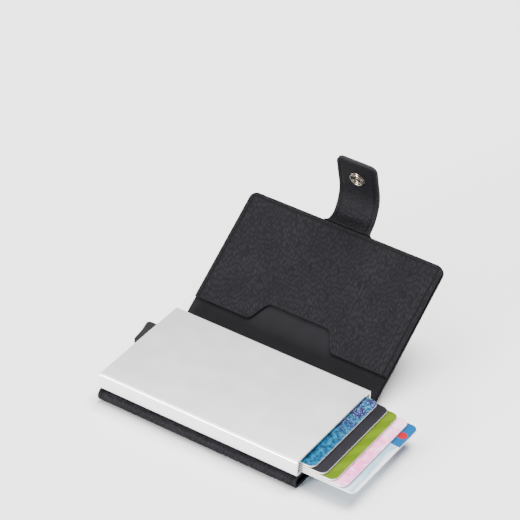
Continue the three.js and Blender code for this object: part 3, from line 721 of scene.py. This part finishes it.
def make_leather():
    """Black pebbled leather: pebble tops lighter than the creases between, whose darker colour is painted
    shade, a darker pressed line beside the edges, cut edges in a grey paint that is partly a painted
    highlight, and fine pores."""
    material, tree, shader = new_material("pebbled leather", Specular_IOR_Level=0.06)
    flat = wire(tree, "UVMap", uv_map="cut").outputs[0]
    rim = marked(tree, "rim")
    tops = mixed(tree, use_group(tree, tone_drift, Vector=flat, Size=14 * MM), *LEATHER_TOPS)
    # Where the pebble mark is low the creases take their darker colour, which is painted shade.
    skin = mixed(tree, marked(tree, "pebble"), LEATHER_SHADED_CREASES, tops)
    skin = mixed(tree, maths(tree, "MULTIPLY", marked(tree, "crease"), 0.8), skin, LEATHER_PRESSED)
    # The cut edges take the edge paint, lighter than the leather as a painted highlight.
    tree.links.new(mixed(tree, rim, skin, EDGE_PAINT_AND_HIGHLIGHT), shader.inputs["Base Color"])
    add_bump(tree, shader, flat, 0.22 * MM, 0.03 * MM)
    rough = use_group(tree, tone_drift, Vector=flat, Size=5 * MM, Low=0.5, High=0.62)
    tree.links.new(maths(tree, "ADD", rough, maths(tree, "MULTIPLY", rim, 0.2)), shader.inputs["Roughness"])
    return material


leather = make_leather()
cover = place(make_cover(), leather, "base", ["back_cover"])


# The note pocket's lining: thin black cloth glued in the bottom of the fold, a little short of each end.
# It is smooth and matt, with a hint of its fine weave.
NOTE_CORNER = 0.8 * MM
NOTE_EDGE = 0.15 * MM
lining = two_toned("lining", ("#100F11", "#131216"), patch=8, grain=0.14, height=0.014,
                   rough=(0.62, 0.72), Specular_IOR_Level=0.1)
place(make_plate("pocket_lining", *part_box("note_pocket_lining"), NOTE_CORNER, NOTE_EDGE), lining,
      "base", ["note_pocket_lining"])


# The stud and its rivet: nickel plated brass, set in a hole in the cover's underside so that it lies
# below the surface. The strap's socket snaps over the stud's bulb when the holder is closed.
WELL_RADIUS = 4.4 * MM
WELL_START = -1 * MM
WELL_DEPTH = LEATHER + 0.2 * MM
TURNED_SIDES = 72
UP = (0, 0, 1)


def turned(name, profile, origin, axis):
    """A turned piece from pairs of radius and height: a point is the origin plus height times the axis
    plus radius times a unit vector that sweeps round the axis."""
    axis, first = Vector(axis).normalized(), Vector((1, 0, 0))
    radius, height = np.array(profile).T[..., None, None]
    angle = np.arange(TURNED_SIDES)[:, None] * 2 * np.pi / TURNED_SIDES
    sweep = np.cos(angle) * np.array(first) + np.sin(angle) * np.array(axis.cross(first))
    return grid_mesh(name, np.array(origin) + height * np.array(axis) + radius * sweep, merge=True)


def sink_well(piece, y):
    """Takes a round well out of a piece's underside: a drum is subtracted, with its wall marked as a cut
    edge, and the result becomes the piece's mesh."""
    section = [(0, WELL_START), (WELL_RADIUS, WELL_START), (WELL_RADIUS, WELL_DEPTH), (0, WELL_DEPTH)]
    drum_mesh = turned("well", section, (0, y, 0), UP)
    mark(drum_mesh, "rim", np.ones(len(drum_mesh.vertices)))
    drum = add_object("well", drum_mesh)
    cut = piece.modifiers.new("well", "BOOLEAN")
    cut.object = drum
    cut.solver = "EXACT"
    holed = bpy.data.meshes.new_from_object(piece.evaluated_get(bpy.context.evaluated_depsgraph_get()))
    piece.modifiers.clear()
    piece.data = holed
    bpy.data.objects.remove(drum)
    holed.set_sharp_from_angle(angle=SMOOTH_UNDER)


def add_snap_part(name, profile, foot, axis, body, node):
    """A turned and plated part of the snap, from its radii and heights in millimetres."""
    place(turned(name, np.array(profile) * MM, foot, axis), nickel, body, [node])


nickel = bright_metal("nickel plate", ("#B0A99C", "#6E675B"), rough=(0.14, 0.22))
stud_low, stud_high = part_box("snap_stud")
stud_y = (stud_low.y + stud_high.y) / 2
sink_well(cover, stud_y)
STUD_PROFILE = [(0, 1.3), (3.4, 1.3), *arc(3.45, 1.17, 0.13, 90, -90, 6), (2.2, 0.97),
                *arc(1.5, 0.85, 0.25, 150, 200, 3), (1.2, 0.68), *arc(1.2, 0.4, 0.32, 60, -80, 9),
                (0.7, 0.1), (0, 0.14)]
RIVET_PROFILE = [(0, 1.3), (1.0, 1.3), (1.0, 1.7), (3.2, 1.7), *arc(3.3, 1.85, 0.15, -90, 80, 6),
                 (2.4, 2.08), (1.2, 2.13), (0, 2.14)]
add_snap_part("snap_stud_turned", STUD_PROFILE, (0, stud_y, 0), UP, "base", "snap_stud")
add_snap_part("rivet_head", RIVET_PROFILE, (0, stud_y, 0), UP, "base", "stud_rivet")


# The leather run: one strip of leather leaves the cover, turns up as the spine, lies out as the flap and
# ends as the strap. Each length is laid along the run line round its fold, and the grain runs on from one
# to the next.
STRAP_ROOT = FLAP_LENGTH + 0.2 * MM
STRAP_CURL = STRAP_ROOT + 4.6 * MM
STRAP_STRAIGHT = STRAP_CURL + 16.4 * MM
STRAP_TIP = STRAP_STRAIGHT + 16.5 * MM
FLAP_FOLD_HALF = 1.2 * MM
STRAP_FOLD = 1.7 * MM
CURL_HALF = 1.6 * MM
STRAP_HALF = 10.3 * MM
STRAP_FILLET = 2.3 * MM
STRAP_CORNER = 3.4 * MM
FLAP_CORNER = 4.0 * MM
LINING_FACE = 0.7 * MM
SPINE_TILT = 38.3
FLAP_TILT = 35.6
STRAP_TILT = 44.0
CURL_TILT = 57.9
TIP_TILT = 106.0
SPINE_START = -13.661 * MM
BASE_BEND_RADIUS = 3.58 * MM
RUN_BACK = -60 * MM
RUN_PLACES = np.arange(-20, 100, 0.02) * MM
KEPT_BY_EDGE = 23
BASE_BEND = (-16.0 * MM, -12.3 * MM)
FOLD_BEND = (-2.6 * MM, 2.6 * MM)
FOLD_EASE = (-2.5 * MM, 4.5 * MM)
LEATHER_ACROSS = 0.26 * MM
LEATHER_ALONG = 0.34 * MM
SPINE_OUTER = -1.2 * MM
SPINE_INNER = -0.1 * MM
FLAP_OUTER = -1.9 * MM
FLAP_INNER = -0.55 * MM
HINGE_SPLIT = -7.5 * MM
FLAP_SPLIT = 6 * MM
half_x = case_high.x
joint_at = {joint["name"]: np.array(joint["pos_m"]) for joint in frame["joints"] if "pos_m" in joint}


def make_run():
    """The line that the leather follows: its Y, Z and tilt at each place. The tilt is a broken line over
    the length, flat in straight parts and sloping in bends, and Y and Z are the running sums of its cosine
    and sine. The line lies a little outside the flap's inner face, through the strap's."""
    knots = [
        (SPINE_START - BASE_BEND_RADIUS * math.radians(SPINE_TILT), 0.0), (SPINE_START, SPINE_TILT),
        (-FLAP_FOLD_HALF, SPINE_TILT), (FLAP_FOLD_HALF, FLAP_TILT),
        (FLAP_LENGTH, FLAP_TILT), (FLAP_LENGTH + STRAP_FOLD, STRAP_TILT),
        (STRAP_CURL - CURL_HALF, STRAP_TILT), (STRAP_CURL + CURL_HALF, CURL_TILT),
        (STRAP_STRAIGHT, TIP_TILT)]
    tilt = np.radians(np.interp(RUN_PLACES, *np.array(knots).T))
    step = np.gradient(RUN_PLACES)
    y, z = np.cumsum(np.cos(tilt) * step), np.cumsum(np.sin(tilt) * step)
    flap_fold = joint_at["flap_fold"]
    foot = math.radians((SPINE_TILT + FLAP_TILT) / 2)
    y += flap_fold[1] + LINING_FACE * math.sin(foot) - np.interp(0, RUN_PLACES, y)
    z += flap_fold[2] - LINING_FACE * math.cos(foot) - np.interp(0, RUN_PLACES, z)
    return y, z, tilt


run_line = make_run()


def on_run(x, run, rise):
    """Points at a place across, a length along the run line, and a rise off it towards the inner side."""
    y, z, tilt = (np.interp(run, RUN_PLACES, line) for line in run_line)
    return np.stack([x, y - rise * np.sin(tilt), z + rise * np.cos(tilt)], axis=-1)


def middle_of_run(run, rise):
    """A point on the middle line of the leather run."""
    return tuple(on_run(np.array(0.0), np.array(run), np.array(rise)))


def bend(piece, bodies, start, end):
    """Bakes a piece's placing into its mesh; it does not bend it. The two bodies and the start and end on
    the run line are not used.
    """
    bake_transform(piece)


def rounded_outline(corners):
    """A closed outline through corners, each an across, an along and a radius. A round corner's circle
    touches its sides at the radius over the tangent of half the angle, and its centre halves the angle."""
    places = np.array([corner[:2] for corner in corners])
    share = np.linspace(0, 1, 9)[:, None]
    points = []
    for here, before, after, corner in zip(places, np.roll(places, 1, 0), np.roll(places, -1, 0), corners):
        if len(corner) < 3:
            points.append(here[None])
            continue
        back, ahead = before - here, after - here
        back, ahead = back / np.hypot(*back), ahead / np.hypot(*ahead)
        half = np.arccos(np.clip(back @ ahead, -1, 1)) / 2
        middle = (back + ahead) / np.hypot(*(back + ahead))
        centre = here + middle * corner[2] / np.sin(half)
        first = here + back * corner[2] / np.tan(half) - centre
        last = here + ahead * corner[2] / np.tan(half) - centre
        turn = np.pi - 2 * half
        swept = np.sin((1 - share) * turn) * first + np.sin(share * turn) * last
        points.append(centre + swept / np.sin(turn))
    return np.concatenate(points)


def margin_in(x, run, outline):
    """How far inside an outline each point lies: its least distance to any side, measured to the foot of
    the perpendicular, or to the side's end if the foot falls outside it."""
    least = np.full(np.shape(x), np.inf)
    for (x0, s0), (x1, s1) in zip(outline, np.roll(outline, -1, axis=0)):
        across_side, along_side = x1 - x0, s1 - s0
        square = max(across_side ** 2 + along_side ** 2, 1e-18)
        share = np.clip(((x - x0) * across_side + (run - s0) * along_side) / square, 0, 1)
        least = np.minimum(least, np.hypot(x - x0 - share * across_side, run - s0 - share * along_side))
    return least


def slab(name, front, back, kept_rows, kept_columns):
    """A closed ply from the grids of its front and back faces. Only the kept rows and columns of the back
    are used, since it is hidden, and between two kept ones the wall round the edge is a single face."""
    number = np.arange(front.shape[0] * front.shape[1]).reshape(front.shape[:2])
    back_number = number.size + np.arange(len(kept_rows) * len(kept_columns)).reshape(len(kept_rows), -1)
    faces = quads(number) + quads(back_number, -1)
    for edge, back_edge, kept, order in (
            (number[:, 0], back_number[:, 0], kept_rows, 1),
            (number[:, -1], back_number[:, -1], kept_rows, -1),
            (number[0], back_number[0], kept_columns, -1),
            (number[-1], back_number[-1], kept_columns, 1)):
        for nth, (start, end) in enumerate(zip(kept[:-1], kept[1:])):
            wall = edge[start:end + 1].tolist() + [int(back_edge[nth + 1]), int(back_edge[nth])]
            faces.append(wall[::order])
    points = np.concatenate([front.reshape(-1, 3), back[np.ix_(kept_rows, kept_columns)].reshape(-1, 3)])
    return closed_mesh(name, points, faces)


def ply(name, x, run, face, back, outline, outward, seed=7, coarse=(24, 20), grained=True, creased=None,
        crowded=(), painted=1.0):
    """One ply of leather or lining on the run line, given its plan as grids of places across and along. The
    face that shows has the grain and falls off at the cut edge; the hidden back is coarse, but keeps the
    rows beside its edges and any crowded ones. Outward is 1 where the inner face shows and -1 where the
    outer one does, and painted is how much of the cut edge's colour shows: edge paint, lighter than the
    leather as a painted highlight."""
    margin = margin_in(x, run, outline)
    if grained:
        height, marks = leather_face(x, run, margin, seed, creased)
        marks["rim"] *= painted
    else:
        near = np.clip(1 - margin / EDGE_ROUND, 0, 1)
        height = UNDULATION / 2 * undulation(x, run) * (1 - near) - 0.6 * edge_fall(margin)
        marks = {}
    always = (*range(-KEPT_BY_EDGE, KEPT_BY_EDGE), *crowded)
    rows, columns = (
        np.array(sorted({*range(0, count, every), *(n % count for n in always if -count <= n < count)}))
        for count, every in zip(x.shape, coarse))
    mesh = slab(name, on_run(x, run, face + outward * height), on_run(x, run, back + 0 * x), rows, columns)
    hidden = np.ix_(rows, columns)
    for label, values in marks.items():
        behind = values[hidden] * (label == "rim")
        mark(mesh, label, np.concatenate([values.ravel(), behind.ravel()]))
    set_layout(mesh, *(np.concatenate([grid.ravel(), grid[hidden].ravel()]) for grid in (x, run)))
    return mesh


def plan(x, run_low, run_high, step, fine_low=False, fine_high=False):
    """A plan grid: at each place across, lengths along the run from a low to a high end, which may differ
    from place to place."""
    share = graded(0, np.max(run_high - run_low), step, fine_low, fine_high)
    share = share / share[-1]
    run_low, run_high = (np.broadcast_to(end, x.shape)[:, None] for end in (run_low, run_high))
    run = run_low + share * (run_high - run_low)
    return np.broadcast_to(x[:, None], run.shape), run


def eased(run, start, end, before, after):
    """A value that is one number before start and another after end, and eases between them."""
    return before + (after - before) * ease((run - start) / (end - start))


def far_edge(x, half, tip, corner):
    """Where a rounded end lies at each place across: the straight edge, and beside it the quarter circle of
    each corner."""
    over = np.clip(np.abs(x) - (half - corner), 0, corner)
    return tip - corner + np.sqrt(np.maximum(corner ** 2 - over ** 2, 0))


hide_outline = rounded_outline([
    (half_x, RUN_BACK), (half_x, FLAP_LENGTH, FLAP_CORNER), (STRAP_HALF, FLAP_LENGTH, STRAP_FILLET),
    (STRAP_HALF, STRAP_TIP, STRAP_CORNER), (-STRAP_HALF, STRAP_TIP, STRAP_CORNER),
    (-STRAP_HALF, FLAP_LENGTH, STRAP_FILLET), (-half_x, FLAP_LENGTH, FLAP_CORNER), (-half_x, RUN_BACK)])
full_x = graded(-half_x, half_x, LEATHER_ACROSS, True, True)


def hide_ply(name, run_low, run_high, stands_for=(), body=None):
    """One length of the leather from cover to flap. From the flap's fold on it lies lower."""
    x, run = plan(full_x, run_low, run_high, LEATHER_ALONG, False, body == "flap")
    outer = eased(run, *FOLD_EASE, SPINE_OUTER, FLAP_OUTER)
    inner = eased(run, *FOLD_EASE, SPINE_INNER, FLAP_INNER)
    return place(ply(name, x, run, outer, inner, hide_outline, -1), leather, body, stands_for)


bend(hide_ply("hinge_leather", SEAM_RUN, HINGE_SPLIT, ["spine_leather"]), ("base", "spine"), *BASE_BEND)
bend(hide_ply("spine_fold_leather", HINGE_SPLIT, FLAP_SPLIT), ("spine", "flap"), *FOLD_BEND)
hide_ply("flap_leather_face", FLAP_SPLIT, far_edge(full_x, half_x, FLAP_LENGTH, FLAP_CORNER),
         ["flap_leather"], "flap")


# The linings of the spine and flap: smooth black lining glued inside the leather, and under it on the flap
# a sheet of black board, pressed and dyed fibres with lighter flecks, that keeps it flat.
LINING_BACK = -0.05 * MM
LINING_EDGE = 0.5 * MM
LINING_START = -15.3 * MM
LINING_ACROSS = 1.6 * MM
LINING_ALONG = 0.5 * MM
lined_x, lined_end = half_x - LINING_EDGE, FLAP_LENGTH - LINING_EDGE
lined_corner = FLAP_CORNER - LINING_EDGE
lining_x = graded(-lined_x, lined_x, LINING_ACROSS, True, True)
lining_outline = rounded_outline([(lined_x, RUN_BACK), (lined_x, lined_end, lined_corner),
                                  (-lined_x, lined_end, lined_corner), (-lined_x, RUN_BACK)])


def lining_ply(name, run_low, run_high, stands_for=(), body=None):
    """One length of the lining, smooth and with its back on the leather or board."""
    grids = plan(lining_x, run_low, run_high, LINING_ALONG, False, body == "flap")
    mesh = ply(name, *grids, LINING_FACE, LINING_BACK, lining_outline, 1, coarse=(8, 8), grained=False)
    return place(mesh, lining, body, stands_for)


bend(lining_ply("hinge_lining", LINING_START, HINGE_SPLIT, ["spine_lining"]), ("base", "spine"), *BASE_BEND)
bend(lining_ply("spine_fold_lining", HINGE_SPLIT, FLAP_SPLIT), ("spine", "flap"), *FOLD_BEND)
lining_ply("flap_lining_face", FLAP_SPLIT, far_edge(lining_x, lined_x, lined_end, lined_corner),
           ["flap_lining"], "flap")
refinish("flap_board", two_toned("black board", ("#2A292B", "#383636"), patch=0.5, grain=0.3, height=0.03,
                                 rough=(0.85, 0.95), flecked=True))


# The flap's card pocket: a panel of the same leather fixed over the lining on three sides and open towards
# the spine, with a notch for the thumb. Its open edge stands a little off the lining.
PANEL_INSET = 0.4 * MM
PANEL_OPEN = 1.9 * MM
PANEL_FACE = LINING_FACE + 1.2 * MM
PANEL_BACK = LINING_FACE + 0.3 * MM
PANEL_FIXED_BACK = LINING_FACE + 0.01 * MM
PANEL_LIFT = (0.4 * MM, 3 * MM)
# How much of the lighter edge colour, paint and painted highlight, shows on the panel's cut edges.
PANEL_PAINT_AND_HIGHLIGHT = 0.25
NOTCH_BASE = 21.4 * MM
NOTCH_TOP = 16.0 * MM
NOTCH_END = PANEL_OPEN + 10 * MM
NOTCH_ROUND = 3.6 * MM
NOTCH_NEAR = 7 * MM
NOTCH_SLACK = 0.1 * MM
panel_half, panel_end = half_x - PANEL_INSET, FLAP_LENGTH - PANEL_INSET
panel_corner = FLAP_CORNER - PANEL_INSET
panel_outline = rounded_outline([
    (-panel_half, PANEL_OPEN), (-NOTCH_BASE, PANEL_OPEN, NOTCH_ROUND), (-NOTCH_TOP, NOTCH_END, NOTCH_ROUND),
    (NOTCH_TOP, NOTCH_END, NOTCH_ROUND), (NOTCH_BASE, PANEL_OPEN, NOTCH_ROUND), (panel_half, PANEL_OPEN),
    (panel_half, panel_end, panel_corner), (-panel_half, panel_end, panel_corner)])


def make_panel():
    """The panel's plan has its open edge read off the outline at each place across. Its back is pressed on
    the lining near the fixed edges and stands off it towards the open edge."""
    x = graded(-panel_half, panel_half, LEATHER_ACROSS, True, True)
    open_edge = panel_outline[panel_outline[:, 1] < NOTCH_END + NOTCH_SLACK]
    low = np.interp(x, open_edge[:, 0], open_edge[:, 1])
    high = far_edge(x, panel_half, panel_end, panel_corner)
    plan_x, run = plan(x, low, high, LEATHER_ALONG, True, True)
    fixed = np.minimum(panel_half - np.abs(plan_x), panel_end - run)
    back = eased(fixed, *PANEL_LIFT, PANEL_FIXED_BACK, PANEL_BACK)
    notched = np.flatnonzero(np.abs(np.abs(x) - (NOTCH_BASE + NOTCH_TOP) / 2) < NOTCH_NEAR)
    return ply("pocket_panel", plan_x, run, PANEL_FACE, back, panel_outline, 1, seed=11, creased=fixed,
               crowded=notched, painted=PANEL_PAINT_AND_HIGHLIGHT)


place(make_panel(), leather, "flap", ["flap_pocket_panel"])


# The strap: the leather run narrows to a strap of two plies, leather outside and a facing of the same
# leather inside, glued back to back. It curls up from the flap's edge and its end is rounded.
FACING_BACK = -0.78 * MM
FACING_GAP = 0.02 * MM
FACING_RAMP = 6 * MM
FACING_START = PANEL_FACE - 0.15 * MM
# How much of the lighter edge colour, paint and painted highlight, shows on the facing's cut edges.
FACING_PAINT_AND_HIGHLIGHT = 0.5
STRAP_LEATHER_BACK = -0.8 * MM
STRAP_BACK_EASE = 2 * MM
ROOT_BEND = (FLAP_LENGTH, FLAP_LENGTH + STRAP_FILLET)
CURL_BEND = (STRAP_CURL - 1.8 * MM, STRAP_CURL + 3 * MM)
TIP_BEND = (STRAP_STRAIGHT - 3 * MM, STRAP_STRAIGHT + 1.3 * MM)
ROOT_SPLIT = FLAP_LENGTH + STRAP_FILLET + 0.2 * MM
CURL_SPLIT = STRAP_CURL + 8.2 * MM
END_SPLIT = STRAP_STRAIGHT + 2.4 * MM


def strap_plan(run_low, run_high):
    """The plan of one length of the strap. The fillets widen it by a quarter circle at the flap's edge, and
    the last length ends in its rounded tip."""
    x = graded(-STRAP_HALF, STRAP_HALF, GRAIN_STEP, True, True)
    at_tip = run_high == STRAP_TIP
    end = far_edge(x, STRAP_HALF, STRAP_TIP, STRAP_CORNER) if at_tip else run_high
    x, run = plan(x, run_low, end, GRAIN_STEP, False, at_tip)
    left = np.clip(STRAP_FILLET - (run - FLAP_LENGTH), 0, STRAP_FILLET)
    return x * (1 + (STRAP_FILLET - np.sqrt(STRAP_FILLET ** 2 - left ** 2)) / STRAP_HALF), run


def strap_length(name, run_low, run_high, bodies, ends=None, node=None):
    """Both plies of one length of the strap, on the first body or, where the length has ends, on none. The
    facing starts level with the pocket panel and comes down to its own height."""
    x, run = strap_plan(run_low, run_high)
    outer_back = eased(run, FLAP_LENGTH, FLAP_LENGTH + STRAP_BACK_EASE, FLAP_INNER, STRAP_LEATHER_BACK)
    face = eased(run, FLAP_LENGTH, FLAP_LENGTH + FACING_RAMP, FACING_START, 0.0)
    face_back = np.maximum(FACING_BACK + 0 * run, outer_back + FACING_GAP)
    meshes = {
        "leather": ply(f"{name}_leather", x, run, FLAP_OUTER, outer_back, hide_outline, -1, coarse=(3, 3)),
        "facing": ply(f"{name}_facing", x, run, face, face_back, hide_outline, 1, seed=19, coarse=(3, 3),
                      painted=FACING_PAINT_AND_HIGHLIGHT)}
    for layer, mesh in meshes.items():
        body = None if ends else bodies[0]
        piece = place(mesh, leather, body, [f"{node}_{layer}"] if node else ())
        if ends:
            bend(piece, bodies, *ends)


strap_length("strap_neck", FLAP_LENGTH, ROOT_SPLIT, ("flap", "strap_root"), ROOT_BEND, "strap_root")
strap_length("strap_rise", ROOT_SPLIT, CURL_SPLIT, ("strap_root", "strap_middle"), CURL_BEND, "strap_middle")
strap_length("strap_curl", CURL_SPLIT, END_SPLIT, ("strap_middle", "strap_end"), TIP_BEND)
strap_length("strap_tip", END_SPLIT, STRAP_TIP, ("strap_end",), node="strap_end")


# The snap on the strap: a nickel socket with rolled rings on the inner face, riveted through the strap to a
# domed cap on the outer face. The socket's wire spring is not drawn.
SNAP_RUN = STRAP_TIP - 10.5 * MM
SOCKET_PROFILE = [(0, 0.02), (3.7, 0.02), *arc(3.72, 0.2, 0.18, -90, 70, 7), (3.42, 0.36),
                  *arc(3.12, 0.6, 0.3, -20, 175, 11), (2.8, 0.5), (2.72, 0.3),
                  *arc(2.35, 0.42, 0.26, 10, 170, 8), (2.02, 0.22), (1.3, 0.2),
                  *arc(0.95, 0.3, 0.2, -20, 160, 8), (0.66, 0.34), (0.3, 0.44), (0, 0.46)]
CAP_PROFILE = [(0, -1.95), (1.2, -1.95), (4.2, -1.92), *arc(4.25, -2.2, 0.3, 80, -60, 9),
               (3.8, -2.75), (3.0, -3.02), (2.0, -3.2), (1.0, -3.3), (0, -3.33)]
snap_foot = middle_of_run(SNAP_RUN, 0.0)
snap_axis = (0, -math.sin(math.radians(TIP_TILT)), math.cos(math.radians(TIP_TILT)))
add_snap_part("snap_socket_pressed", SOCKET_PROFILE, snap_foot, snap_axis, "strap_end", "snap_socket")
add_snap_part("snap_cap_domed", CAP_PROFILE, snap_foot, snap_axis, "strap_end", "snap_cap")


# The room: a plain pale floor, a soft studio light overhead and a little behind, weaker ones high on the
# left and low at the front, and the camera where the photograph was taken from.
FLOOR_TONES = ("#F0F0F0", "#F2F2F2")
FLOOR_PATCH = 0.4
FLOOR_HALF = 4
FLOOR_DROP = -0.03 * MM
WARM_WHITE = (1, 0.99, 0.97)
SOFTBOXES = (("overhead", (0.1, 0.5, 1.6), 1.0, 82, WARM_WHITE),
             ("left", (-0.75, -0.4, 1.4), 1.0, 20, WARM_WHITE),
             ("front", (-0.5, -1.6, 0.3), 0.55, 80, (1, 1, 1)))
LIGHT_AIM = Vector((0, 0.03, 0.02))
SKY_COLOUR = (0.9, 0.915, 1.0, 1)
SKY_STRENGTH = 0.4
VIEW_AZIMUTH = math.radians(30.858)
VIEW_ELEVATION = math.radians(35.825)
VIEW_ROLL = math.radians(-3.342)
VIEW_DISTANCE = 1.23556
VIEW_LENS = 186.22
LOOK_AT = Vector((-0.03665, 0.0763, 0.02))


def make_floor():
    """A plain pale sheet, matt and even, far wider than the view."""
    material, tree, shader = new_material("pale floor", Roughness=0.9)
    where = wire(tree, "TexCoord").outputs["Object"]
    tone = use_group(tree, tone_drift, Vector=where, Size=FLOOR_PATCH)
    tree.links.new(mixed(tree, tone, *FLOOR_TONES), shader.inputs["Base Color"])
    sheet = bpy.data.meshes.new("floor")
    ends = (-FLOOR_HALF, FLOOR_HALF)
    sheet.from_pydata([(x, y, FLOOR_DROP) for x in ends for y in ends], [], [(0, 2, 3, 1)])
    sheet.materials.append(material)
    add_object("floor", sheet)


def aimed(at, back, roll=0.0):
    """A placing that looks along the opposite of its back, rolled about it."""
    turn = back.to_track_quat("Z", "Y").to_matrix().to_4x4()
    return Matrix.Translation(at) @ turn @ Matrix.Rotation(roll, 4, "Z")


def add_softbox(name, at, size, power, tint):
    """A square soft light at one place, turned towards the object."""
    light = bpy.data.lights.new(name, "AREA")
    light.shape = "SQUARE"
    light.size = size
    light.energy = power
    light.color = tint
    add_object(name, light).matrix_world = aimed(at, Vector(at) - LIGHT_AIM)


def add_camera():
    """The camera looks at one point from its azimuth, elevation and distance, and is rolled a little."""
    back = Vector((math.sin(VIEW_AZIMUTH) * math.cos(VIEW_ELEVATION),
                   -math.cos(VIEW_AZIMUTH) * math.cos(VIEW_ELEVATION), math.sin(VIEW_ELEVATION)))
    lens = bpy.data.cameras.new("view")
    lens.sensor_width = 36
    lens.lens = VIEW_LENS
    lens.clip_start = 0.01
    camera = add_object("view", lens)
    camera.matrix_world = aimed(LOOK_AT + back * VIEW_DISTANCE, back, -VIEW_ROLL)
    bpy.context.scene.camera = camera


make_floor()
for softbox in SOFTBOXES:
    add_softbox(*softbox)
sky = bpy.data.worlds.new("studio")
sky.use_nodes = True
sky.node_tree.nodes["Background"].inputs["Color"].default_value = SKY_COLOUR
sky.node_tree.nodes["Background"].inputs["Strength"].default_value = SKY_STRENGTH
bpy.context.scene.world = sky
add_camera()
